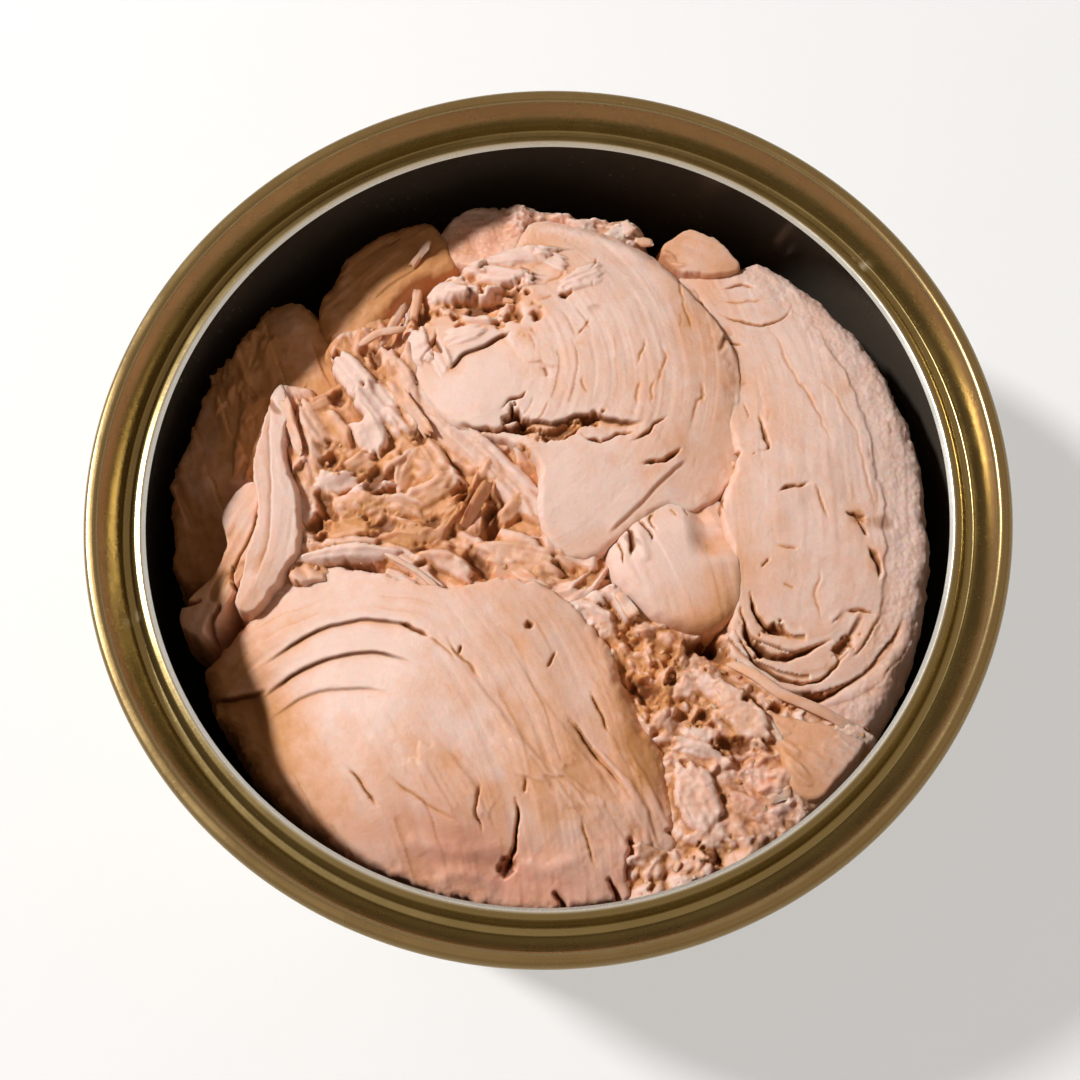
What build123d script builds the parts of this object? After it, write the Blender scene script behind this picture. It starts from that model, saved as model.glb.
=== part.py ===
from build123d import *
import os
from math import cos, radians, sin

# An opened round food can with tuna in it. Millimetres, +Z up, origin at the middle of the
# plane that the can stands on. +X is the viewer's right and +Y is away from the viewer.

# --- can: driving dimensions -------------------------------------------------------------
can_height = 38.0  # floor to the top of the double seam
body_radius = 42.46  # outside of the drawn body wall
body_plate = 0.22  # thickness of the body's tinplate
end_plate = 0.25  # thickness of the end's tinplate
lap = 0.04  # play between the plates inside the seam

# Base: a foot ring, a recessed panel and pressed expansion beads.
heel_height = 2.6
heel_width = 1.85
foot_width = 1.6
panel_slope = 1.6  # run of the slope between the foot ring and the recessed panel
panel_recess = 1.7
base_fillet = 0.7
bead_depth = 0.6
bead_half_width = 1.5
bead_margin = 4.4  # from the panel's edge to the middle of the outer bead
bead_pitch = 9.5
bead_count = 3

# Double seam, counted from the inside out: chuck wall, body wall, cover hook, body hook, panel.
seam_height = 3.05
body_hook_length = 1.85
cover_hook_length = 1.75
seam_corner = 0.45
flat_between_bends = 0.002  # straight stretch left between the two bends of a hook

# Ring that stays in the can when the lid is torn out along its score line.
countersink_depth = 3.85  # top of the seam to the underside of the groove
countersink_width = 0.85
chuck_taper = 1.3  # run of the chuck wall, from the seam in to the groove
ledge_run = 0.6  # run of the slope from the groove up to the ledge
ledge_drop = 2.6  # top of the seam to the crest of the ledge
ledge_width = 0.6
ledge_fall = 0.1  # fall of the ledge from its crest towards the groove
cut_curl = 0.33  # run and drop of the torn edge, inside the crest
cut_fillet = 0.2
ledge_fillet = 0.3
groove_fillet = 0.36

# --- tuna: driving dimensions ------------------------------------------------------------
side_gap = 4.2  # between the pressed cake of fish and the can's wall
headspace = 9.6  # top of the seam to the middle of the fish
flesh_gap = 0.25  # between neighbouring pieces
grown_points = 90  # points that the line round a grown outline is drawn through

# --- derived sizes -----------------------------------------------------------------------
body_mid = body_radius - body_plate / 2
cover_mid = body_radius + lap + end_plate / 2
hook_mid = cover_mid + end_plate / 2 + lap + body_plate / 2
panel_mid = hook_mid + body_plate / 2 + lap + end_plate / 2
chuck_mid = body_mid - body_plate / 2 - lap - end_plate / 2
end_top = can_height - end_plate / 2
body_top = can_height - end_plate - lap - body_plate / 2
foot_outer = body_radius - heel_width
foot_inner = foot_outer - foot_width
panel_radius = foot_inner - panel_slope
floor_mid = panel_recess + body_plate / 2
floor_top = panel_recess + body_plate
cake_radius = body_radius - body_plate - side_gap
fish_top = can_height - headspace


def plate_of_revolution(points, fillets, thickness):
    """A sheet-metal ring or cup: a filleted centre line, given its thickness and turned about Z."""
    with BuildPart() as turned:
        with BuildSketch(Plane.XZ):
            with BuildLine():
                FilletPolyline(*points, radius=fillets)
            trace(line_width=thickness)
        revolve(axis=Axis.Z)
    return turned


def body_profile():
    """Points and corner radii of the drawn body, from the middle of its base to its seam hook."""
    points = [(0, floor_mid)]
    for step in reversed(range(bead_count)):
        radius = panel_radius - bead_margin - step * bead_pitch
        points += [
            (radius - bead_half_width, floor_mid),
            (radius, floor_mid - bead_depth),
            (radius + bead_half_width, floor_mid),
        ]
    points += [
        (panel_radius, floor_mid),
        (foot_inner, body_plate / 2),
        (foot_outer, body_plate / 2),
        (body_mid, heel_height),
        (body_mid, body_top),
        (hook_mid, body_top),
        (hook_mid, body_top - body_hook_length),
    ]
    hook_bend = (hook_mid - body_mid - flat_between_bends) / 2
    fillets = [base_fillet] * (len(points) - 4) + [hook_bend, hook_bend]
    return points, fillets


def ring_profile():
    """Points and corner radii of the end's ring, from its torn edge to its cover hook."""
    crest = can_height - ledge_drop - end_plate / 2
    groove = can_height - countersink_depth + end_plate / 2
    seam_bottom = can_height - seam_height + end_plate / 2
    groove_outer = chuck_mid - chuck_taper
    groove_inner = groove_outer - countersink_width
    ledge_outer = groove_inner - ledge_run
    ledge_inner = ledge_outer - ledge_width
    points = [
        (ledge_inner - cut_curl, crest - cut_curl),
        (ledge_inner, crest),
        (ledge_outer, crest - ledge_fall),
        (groove_inner, groove),
        (groove_outer, groove),
        (chuck_mid, end_top),
        (panel_mid, end_top),
        (panel_mid, seam_bottom),
        (cover_mid, seam_bottom),
        (cover_mid, seam_bottom + cover_hook_length),
    ]
    hook_bend = (panel_mid - cover_mid - flat_between_bends) / 2
    fillets = [cut_fillet, ledge_fillet, groove_fillet, groove_fillet]
    fillets += [seam_corner, seam_corner, hook_bend, hook_bend]
    return points, fillets


# --- tuna outlines -----------------------------------------------------------------------
# The plan of the fish is drawn for a cake of this radius, and scaled to the one in the can.
# Each outline is a closed smooth line through a few points. Points outside the circle only
# lead the line round outside the cake, where its circle trims the piece.
plan_radius = 38.04
plan_margin = 5.0
plan_scale = cake_radius / plan_radius


def rim_point(angle):
    """A point outside the cake at a compass angle, counted from +X towards +Y."""
    out = plan_radius + plan_margin
    return (out * cos(radians(angle)), out * sin(radians(angle)))


outlines = {
    "chunk_back": [
        (-13.1, 21.6), (-12.0, 15.7), (-9.6, 11.4), (-4.8, 9.0), (0.1, 5.4), (-0.3, -0.9),
        (2.8, -4.5), (6.9, -2.7), (11.5, -0.1), (16.6, 1.9), (19.2, 5.0), (19.7, 10.6),
        (18.8, 17.5), (17.2, 22.4), (14.4, 27.4), (10.1, 31.2), (5.5, 33.4), (0.6, 34.2),
        (-1.6, 30.8), (-5.0, 29.4), (-8.4, 27.6), (-11.4, 25.3),
    ],
    "chunk_front": [
        (-31.5, -8.8), (-27.9, -5.9), (-24.9, -4.3), (-19.7, -4.5), (-15.2, -5.8),
        (-9.4, -7.1), (-2.5, -7.3), (1.5, -9.5), (4.9, -14.7), (7.2, -19.9), (9.2, -25.0),
        (9.8, -30.2), (8.9, -34.2), (6.1, -33.2), rim_point(276), rim_point(245), rim_point(215),
        (-36.0, -13.0),
    ],
    "chunk_middle": [
        (6.9, -4.0), (9.2, -2.2), (13.0, 0.0), (16.4, 0.6), (17.9, -2.6), (18.2, -8.4),
        (17.0, -12.8), (14.8, -14.1), (11.5, -12.7), (8.4, -9.5),
    ],
    "chunk_right": [
        (18.2, 26.4), (22.7, 26.8), (27.0, 29.0), rim_point(35), rim_point(10), rim_point(-15),
        (32.5, -24.5), (26.4, -23.2), (21.6, -19.9), (18.0, -16.6), (17.2, -14.0),
        (18.4, -10.1), (18.7, -5.5), (18.1, -1.0), (19.6, 2.2), (20.4, 5.4), (20.1, 10.6),
        (19.5, 15.2), (19.0, 20.0),
    ],
    "chunk_corner": [
        (14.9, 29.9), (17.2, 31.6), (19.4, 31.0), (22.2, 27.9), (18.3, 27.2), (16.2, 27.9),
    ],
    "chunk_back_left": [
        (-22.8, 25.0), (-22.0, 28.4), (-19.2, 32.7), (-15.2, 35.7), (-10.9, 36.4),
        (-8.6, 33.2), (-8.2, 30.2), (-10.8, 29.2), (-13.9, 27.3), (-16.4, 24.0), (-19.2, 21.9),
        (-22.0, 22.4),
    ],
    "strip_back": [
        (-8.0, 35.7), (-4.8, 37.0), (-1.4, 36.0), (4.0, 35.0), (8.6, 33.6), (12.6, 32.6),
        (12.2, 31.0), (5.5, 32.0), (-1.4, 31.0), (-4.9, 30.2), (-7.5, 30.7),
    ],
    "chunk_left": [
        (-33.4, 23.4), (-30.6, 25.4), (-25.0, 25.8), (-23.2, 22.3), (-20.6, 18.9),
        (-20.9, 16.3), (-24.8, 15.8), (-27.2, 16.0), (-28.6, 11.3), (-30.4, 7.0),
        (-32.3, 1.6), (-33.8, -1.4), rim_point(179), rim_point(162),
    ],
    "slice_inner": [
        (-26.7, 16.4), (-25.7, 11.1), (-24.8, 4.8), (-25.6, -1.5), (-27.8, -5.3),
        (-30.9, -7.6), (-31.4, -6.0), (-28.8, -2.0), (-27.9, 2.5), (-29.2, 7.1), (-28.3, 11.7),
    ],
    "slice_outer": [
        (-30.2, 6.0), (-28.3, 2.5), (-29.0, -1.6), (-31.6, -5.8), (-35.0, -9.6),
        (-37.0, -8.2), (-33.4, -4.2), (-32.6, -0.3), (-31.9, 3.7),
    ],
    "flap_right": [
        (20.1, -21.9), (23.9, -23.3), (29.2, -26.0), (25.6, -29.6), (21.8, -29.2),
        (20.9, -25.6),
    ],
    "heap_centre": [
        (-20.8, 20.8), (-13.0, 23.0), (-8.0, 16.0), (0.0, 8.0), (3.0, -2.0), (9.0, -6.0),
        (0.0, -10.0), (-10.0, -9.5), (-20.0, -6.5), (-28.0, -8.0), (-31.0, 0.0), (-29.0, 9.0),
        (-27.5, 16.0), (-24.0, 20.0),
    ],
    "heap_right": [
        (5.0, -2.0), (10.0, -5.0), (19.0, -12.0), (26.0, -20.0), (32.0, -24.0),
        rim_point(305), rim_point(290), rim_point(278), (6.0, -32.0), (6.0, -20.0),
        (0.0, -10.0),
    ],
}

# Crown of each piece: where its highest point stands on the plan, how far above or below the
# fish's middle level that is, and the radius of the ball that rounds it off.
crowns = {
    "chunk_back": ((5.0, 14.0), 1.4, 90.0),
    "chunk_front": ((-8.0, -20.0), 1.2, 95.0),
    "chunk_middle": ((13.0, -5.5), 1.0, 32.0),
    "chunk_right": ((25.0, 0.0), 0.8, 110.0),
    "chunk_corner": ((18.0, 29.0), -1.2, 25.0),
    "chunk_back_left": ((-14.5, 29.0), -1.6, 45.0),
    "strip_back": ((2.0, 33.0), -1.2, 45.0),
    "chunk_left": ((-28.0, 14.0), -1.8, 55.0),
    "slice_inner": ((-27.5, 4.0), 0.2, 60.0),
    "slice_outer": ((-31.0, -2.0), -0.3, 40.0),
    "flap_right": ((23.0, -26.0), -0.6, 22.0),
}

# Curved splits between the layers of muscle: centre of a family of arcs on the plan, radius of
# the first, spacing, count, first angle and sweep.
layer_splits = {
    "chunk_front": ((-20.5, -27.8), 11.2, 3.3, 3, 52.0, 76.0),
    "chunk_back": ((3.0, 17.0), 6.0, 3.2, 3, 300.0, 100.0),
    "chunk_right": ((24.5, -8.0), 6.0, 2.2, 3, 215.0, 110.0),
}
split_depth = 0.9
split_width = 0.7

# Heaps of loose flakes: middle of the heap on the plan, count of flakes and their spacing. The
# flakes are laid out by a sunflower spiral, sunk in a core, and tilted one way and the other.
heaps = {
    "heap_centre": ((-13.0, 6.0), 24, 3.1),
    "heap_right": ((14.0, -23.0), 20, 2.8),
}
core_sink = 3.0  # the core lies this far under the fish's middle level
flake_size = (7.0, 3.4, 1.8)
flake_tilt = 28.0
flake_lift = 0.4
tilt_rates = (2.1, 1.7)  # how quickly the two tilts change from one flake to the next
golden_angle = 137.508


def on_plan(point):
    """A point of the plan, moved to the cake that is in the can."""
    return (point[0] * plan_scale, point[1] * plan_scale)


def face_of(points):
    """The face inside a smooth closed line through the points."""
    with BuildSketch() as drawn:
        with BuildLine():
            Spline(*points, periodic=True)
        make_face()
    return drawn.sketch


def grown(face):
    """A face a flesh gap larger all round, its edge one smooth line again."""
    edge = offset(face, flesh_gap, kind=Kind.ARC).faces()[0].outer_wire()
    return face_of([edge @ (step / grown_points) for step in range(grown_points)])


def trimmed_outlines():
    """Each outline inside the cake's circle, less the grown outlines of those named before it."""
    faces = {name: face_of([on_plan(point) for point in points]) for name, points in outlines.items()}
    clearances = {name: grown(face) for name, face in faces.items()}
    trimmed = {}
    for index, name in enumerate(outlines):
        with BuildSketch() as kept:
            Circle(cake_radius)
            add(faces[name], mode=Mode.INTERSECT)
            for earlier in list(outlines)[:index]:
                add(clearances[earlier], mode=Mode.SUBTRACT)
        trimmed[name] = kept.sketch.faces().sort_by(SortBy.AREA)[-1]
    return trimmed


def crown_height(name, point):
    """Height of the ball-shaped crown of a piece above a point of the can's floor plane."""
    spot, lift, ball = crowns[name]
    away = (Vector(*point) - Vector(*on_plan(spot))).length
    return fish_top + lift - ball + (ball**2 - away**2) ** 0.5


def layer_cut(name, centre, radius, first_angle, sweep):
    """A shallow curved wedge along one split between two layers of muscle."""
    middle = radians(first_angle + sweep / 2)
    on_arc = (centre[0] + radius * cos(middle), centre[1] + radius * sin(middle))
    start = radians(first_angle)
    with BuildPart() as cut:
        upright = Plane(
            origin=(*centre, crown_height(name, on_arc)),
            x_dir=(cos(start), sin(start), 0),
            z_dir=(sin(start), -cos(start), 0),
        )
        with BuildSketch(upright):
            with BuildLine():
                Polyline(
                    (radius, -split_depth),
                    (radius + split_width, split_depth),
                    (radius - split_width, split_depth),
                    close=True,
                )
            make_face()
        revolve(axis=Axis((*centre, 0), (0, 0, 1)), revolution_arc=sweep)
    return cut.part


def muscle(name, face):
    """One piece of fish: its outline drawn up from the can's floor, under a ball-shaped crown."""
    spot, lift, ball = crowns[name]
    with BuildPart() as piece:
        with BuildSketch(Plane.XY.offset(floor_top)):
            add(face)
        extrude(amount=fish_top + lift - floor_top)
        with Locations((*on_plan(spot), fish_top + lift - ball)):
            Sphere(ball, mode=Mode.INTERSECT)
        if name in layer_splits:
            centre, first_radius, spacing, count, first_angle, sweep = layer_splits[name]
            for step in range(count):
                radius = first_radius + step * spacing
                cut = layer_cut(name, on_plan(centre), radius, first_angle, sweep)
                add(cut, mode=Mode.SUBTRACT)
    return piece


def heap(name, face):
    """A heap of flakes: a low core with tilted flakes standing out of its top."""
    middle, count, spread = heaps[name]
    middle = on_plan(middle)
    core_top = fish_top - core_sink
    with BuildPart() as piece:
        with BuildSketch(Plane.XY.offset(floor_top)):
            add(face)
        extrude(amount=core_top - floor_top)
        for step in range(count):
            turn = golden_angle * step
            out = spread * step**0.5
            place = (
                middle[0] + out * cos(radians(turn)),
                middle[1] + out * sin(radians(turn)),
                core_top + flake_lift * sin(step),
            )
            tilt = (
                flake_tilt * sin(tilt_rates[0] * step),
                flake_tilt * cos(tilt_rates[1] * step),
                turn / 2,
            )
            with Locations(Location(place, tilt)):
                Box(*flake_size)
        with BuildSketch(Plane.XY.offset(floor_top)):
            add(face)
        extrude(amount=can_height, mode=Mode.INTERSECT)
    return piece


def main():
    pieces = {
        "can_body": plate_of_revolution(*body_profile(), body_plate),
        "end_ring": plate_of_revolution(*ring_profile(), end_plate),
    }
    for name, face in trimmed_outlines().items():
        pieces[name] = heap(name, face) if name in heaps else muscle(name, face)
    os.makedirs("parts", exist_ok=True)
    for name, piece in pieces.items():
        piece.part.label = name
        export_step(piece.part, f"parts/{name}.step")


main()
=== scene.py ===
import math

import bpy
import numpy as np
from mathutils import Matrix, Vector


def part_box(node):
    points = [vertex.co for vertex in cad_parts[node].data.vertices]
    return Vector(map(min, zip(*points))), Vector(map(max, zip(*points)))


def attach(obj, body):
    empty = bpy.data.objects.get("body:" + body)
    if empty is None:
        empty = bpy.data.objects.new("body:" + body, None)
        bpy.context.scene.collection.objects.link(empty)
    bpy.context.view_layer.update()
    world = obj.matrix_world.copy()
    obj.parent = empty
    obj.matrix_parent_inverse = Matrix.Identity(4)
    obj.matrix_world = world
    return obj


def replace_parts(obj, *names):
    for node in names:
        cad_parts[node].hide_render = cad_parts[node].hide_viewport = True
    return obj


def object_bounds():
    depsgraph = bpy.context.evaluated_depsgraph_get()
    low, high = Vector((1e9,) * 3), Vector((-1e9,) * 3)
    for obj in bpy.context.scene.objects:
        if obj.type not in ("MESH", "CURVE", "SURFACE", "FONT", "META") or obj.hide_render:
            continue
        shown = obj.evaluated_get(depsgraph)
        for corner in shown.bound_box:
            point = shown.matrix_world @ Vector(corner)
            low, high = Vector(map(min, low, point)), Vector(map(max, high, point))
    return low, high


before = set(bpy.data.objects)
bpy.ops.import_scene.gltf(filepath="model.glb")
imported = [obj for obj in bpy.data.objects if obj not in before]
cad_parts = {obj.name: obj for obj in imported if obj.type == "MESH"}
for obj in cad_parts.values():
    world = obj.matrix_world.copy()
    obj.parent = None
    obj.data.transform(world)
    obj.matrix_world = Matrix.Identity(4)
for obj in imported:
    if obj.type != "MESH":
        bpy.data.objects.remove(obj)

cad_box = [list(corner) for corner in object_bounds()]

MM = 0.001
BODY = "root"
cell = 0.132  # spacing of the carved fish's points, in mm
flake_detail = 1.0  # how finely the loose flakes are made, as a factor on their set fineness
ring_steps = 400  # steps round the can that the end's ring is turned in

# --- noise -------------------------------------------------------------------------------


def lattice(ix, iy, seed):
    """A repeatable random number from 0 to 1 for each whole-numbered place."""
    h = (ix.astype(np.int64) * 374761393 + iy.astype(np.int64) * 668265263 + seed * 974634777)
    h = (h ^ (h >> 13)) & 0x7FFFFFFF
    h = (h * 1274126177) & 0x7FFFFFFF
    return ((h ^ (h >> 15)) & 0xFFFFF) / float(0xFFFFF)


def noise(x, y, seed):
    """Smooth noise of wavelength 1, from -1 to 1."""
    ix, iy = np.floor(x), np.floor(y)
    fx, fy = x - ix, y - iy
    fx = fx * fx * fx * (fx * (fx * 6 - 15) + 10)
    fy = fy * fy * fy * (fy * (fy * 6 - 15) + 10)
    low = lattice(ix, iy, seed) * (1 - fx) + lattice(ix + 1, iy, seed) * fx
    high = lattice(ix, iy + 1, seed) * (1 - fx) + lattice(ix + 1, iy + 1, seed) * fx
    return 2 * (low * (1 - fy) + high * fy) - 1


def fractal(x, y, seed, octaves=4, gain=0.5):
    """Noise summed over octaves, about -1 to 1."""
    total, weight, scale = 0, 0, 1.0
    for octave in range(octaves):
        turn = 0.6 + octave
        u = math.cos(turn) * x - math.sin(turn) * y
        v = math.sin(turn) * x + math.cos(turn) * y
        total = total + scale * noise(u * 2**octave, v * 2**octave, seed + 17 * octave)
        weight += scale
        scale *= gain
    return total / weight


def cells(x, y, seed):
    """Distance to the nearest of the points strewn one to a unit square: rounded grains."""
    ix, iy = np.floor(x), np.floor(y)
    best = np.full(np.shape(x), 9.0)
    for dx in (-1, 0, 1):
        for dy in (-1, 0, 1):
            px = ix + dx + lattice(ix + dx, iy + dy, seed)
            py = iy + dy + lattice(ix + dx, iy + dy, seed + 5)
            best = np.minimum(best, np.hypot(x - px, y - py))
    return best


def smooth(edge0, edge1, value):
    """0 before edge0 and 1 past edge1, with a soft slope between them."""
    t = np.clip((value - edge0) / (edge1 - edge0), 0, 1)
    return t * t * (3 - 2 * t)


# --- lines drawn on the plan --------------------------------------------------------------


def blend(a, b, c, d, t):
    """Places from b to c on the smooth curve through a, b, c and d, for t from 0 to 1."""
    return 0.5 * (2 * b + (c - a) * t + (2 * a - 5 * b + 4 * c - d) * t**2
                  + (3 * b - a - 3 * c + d) * t**3)


def curve_through(points, step=0.3):
    """Points along a smooth open line through the given ones."""
    pts = np.array(points, float)
    if len(pts) == 2:
        count = max(2, int(np.hypot(*(pts[1] - pts[0])) / step))
        return pts[0] + (pts[1] - pts[0]) * np.linspace(0, 1, count)[:, None]
    ends = np.vstack([2 * pts[0] - pts[1], pts, 2 * pts[-1] - pts[-2]])
    out = []
    for a, b, c, d in zip(ends, ends[1:], ends[2:], ends[3:]):
        count = max(2, int(np.hypot(*(c - b)) / step))
        t = np.linspace(0, 1, count, endpoint=False)[:, None]
        out.append(blend(a, b, c, d, t))
    return np.vstack(out + [pts[-1:]])


def closed_curve(points):
    """Points round a smooth closed line through the given ones."""
    steps = 6
    pts = np.array(points, float)
    a, b, c, d = (np.roll(pts, shift, axis=0)[:, None] for shift in (1, 0, -1, -2))
    t = np.linspace(0, 1, steps, endpoint=False)[None, :, None]
    return blend(a, b, c, d, t).reshape(-1, 2)


def nearest(x, y, line):
    """Distance to a line, side (+ on its left) and how far along it the nearest place is."""
    best = np.full(x.shape, 1e9)
    side = np.zeros(x.shape)
    along = np.zeros(x.shape)
    last = len(line) - 1
    for i in range(last):
        (ax, ay), (bx, by) = line[i], line[i + 1]
        ex, ey = bx - ax, by - ay
        t = np.clip(((x - ax) * ex + (y - ay) * ey) / (ex * ex + ey * ey), 0, 1)
        d = (x - ax - t * ex) ** 2 + (y - ay - t * ey) ** 2
        closer = d < best
        best = np.where(closer, d, best)
        side = np.where(closer, ex * (y - ay) - ey * (x - ax), side)
        along = np.where(closer, (i + t) / last, along)
    return np.sqrt(best), np.sign(side), along


def inside(x, y, ring):
    """Whether each place lies inside a closed ring of points."""
    hit = np.zeros(x.shape, bool)
    for (ax, ay), (bx, by) in zip(ring, np.roll(ring, -1, axis=0)):
        if ay == by:
            continue
        crosses = (ay > y) != (by > y)
        hit ^= crosses & (x < (bx - ax) * (y - ay) / (by - ay) + ax)
    return hit


def along_and_across(dx, dy, turn):
    """Offsets measured along a direction, turn degrees from x, and across it."""
    c, s = math.cos(math.radians(turn)), math.sin(math.radians(turn))
    return dx * c + dy * s, dy * c - dx * s


def tapered(along, ends):
    """1 along a line, falling to 0 over a share of it at each end."""
    return smooth(0, ends, along) * smooth(0, ends, 1 - along)


def between(rng, span, power=1.0):
    """A random number within a span; a power over 1 favours the span's first end."""
    return span[0] + (span[1] - span[0]) * rng.random() ** power


# --- shapes taken from the frame ----------------------------------------------------------


def cad_triangles(node):
    """A CAD node's points in mm, its triangles and how far each of them faces up."""
    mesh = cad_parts[node].data
    mesh.calc_loop_triangles()
    points = np.array([v.co for v in mesh.vertices]) / MM
    triangles = np.array([t.vertices for t in mesh.loop_triangles])
    up = np.array([t.normal[2] for t in mesh.loop_triangles])
    return points, triangles, up


def footprint(node):
    """The ring of points, in mm, round the flat underside of a CAD node."""
    co, tris, _ = cad_triangles(node)
    low = co[:, 2].min()
    tris = tris[(co[tris, 2] < low + 0.01).all(axis=1)]
    keys, index = np.unique(np.round(co[:, :2], 3), axis=0, return_inverse=True)
    tris = index.reshape(-1)[tris]
    uses = {}
    for a, b, c in tris:
        for edge in ((a, b), (b, c), (c, a)):
            uses[edge] = uses.get(edge, 0) + 1
    follow = {a: b for (a, b) in uses if (b, a) not in uses}
    start = next(iter(follow))
    ring, here = [start], follow[start]
    while here != start:
        ring.append(here)
        here = follow[here]
    return keys[ring]


def crown(node):
    """Height in mm of a CAD node's smooth top, as a curved surface fitted to it."""
    co, tris, up = cad_triangles(node)
    mid = co[tris].mean(axis=1)
    mid = mid[(up > 0.8) & (mid[:, 2] > co[:, 2].min() + 5)]
    x, y = mid[:, 0], mid[:, 1]
    terms = np.column_stack([x * 0 + 1, x, y, x * x, x * y, y * y])
    fit = np.linalg.lstsq(terms, mid[:, 2], rcond=None)[0]
    return lambda u, v: fit[0] + fit[1] * u + fit[2] * v + fit[3] * u * u + fit[4] * u * v + fit[5] * v * v


def add_mesh(name, verts, faces, material, tone):
    """A smooth-shaded mesh object, from points in mm, a list of face arrays and a tone for each point."""
    mesh = bpy.data.meshes.new(name)
    loops = np.concatenate([f.reshape(-1) for f in faces]).astype(np.int32)
    sizes = np.concatenate([np.full(len(f), f.shape[1]) for f in faces]).astype(np.int32)
    starts = np.concatenate([[0], np.cumsum(sizes)[:-1]]).astype(np.int32)
    mesh.vertices.add(len(verts))
    mesh.vertices.foreach_set("co", (np.asarray(verts) * MM).astype(np.float32).reshape(-1))
    mesh.loops.add(len(loops))
    mesh.loops.foreach_set("vertex_index", loops)
    mesh.polygons.add(len(sizes))
    mesh.polygons.foreach_set("loop_start", starts)
    mesh.polygons.foreach_set("use_smooth", np.ones(len(sizes), bool))
    mesh.update(calc_edges=True)
    mesh.validate()
    layer = mesh.attributes.new("flesh", "FLOAT_COLOR", "POINT")
    rgba = np.column_stack([tone, np.ones(len(verts))]).astype(np.float32)
    layer.data.foreach_set("color", rgba.reshape(-1))
    mesh.materials.append(material)
    piece = bpy.data.objects.new(name, mesh)
    bpy.context.scene.collection.objects.link(piece)
    return piece


# --- carved fish --------------------------------------------------------------------------


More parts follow.
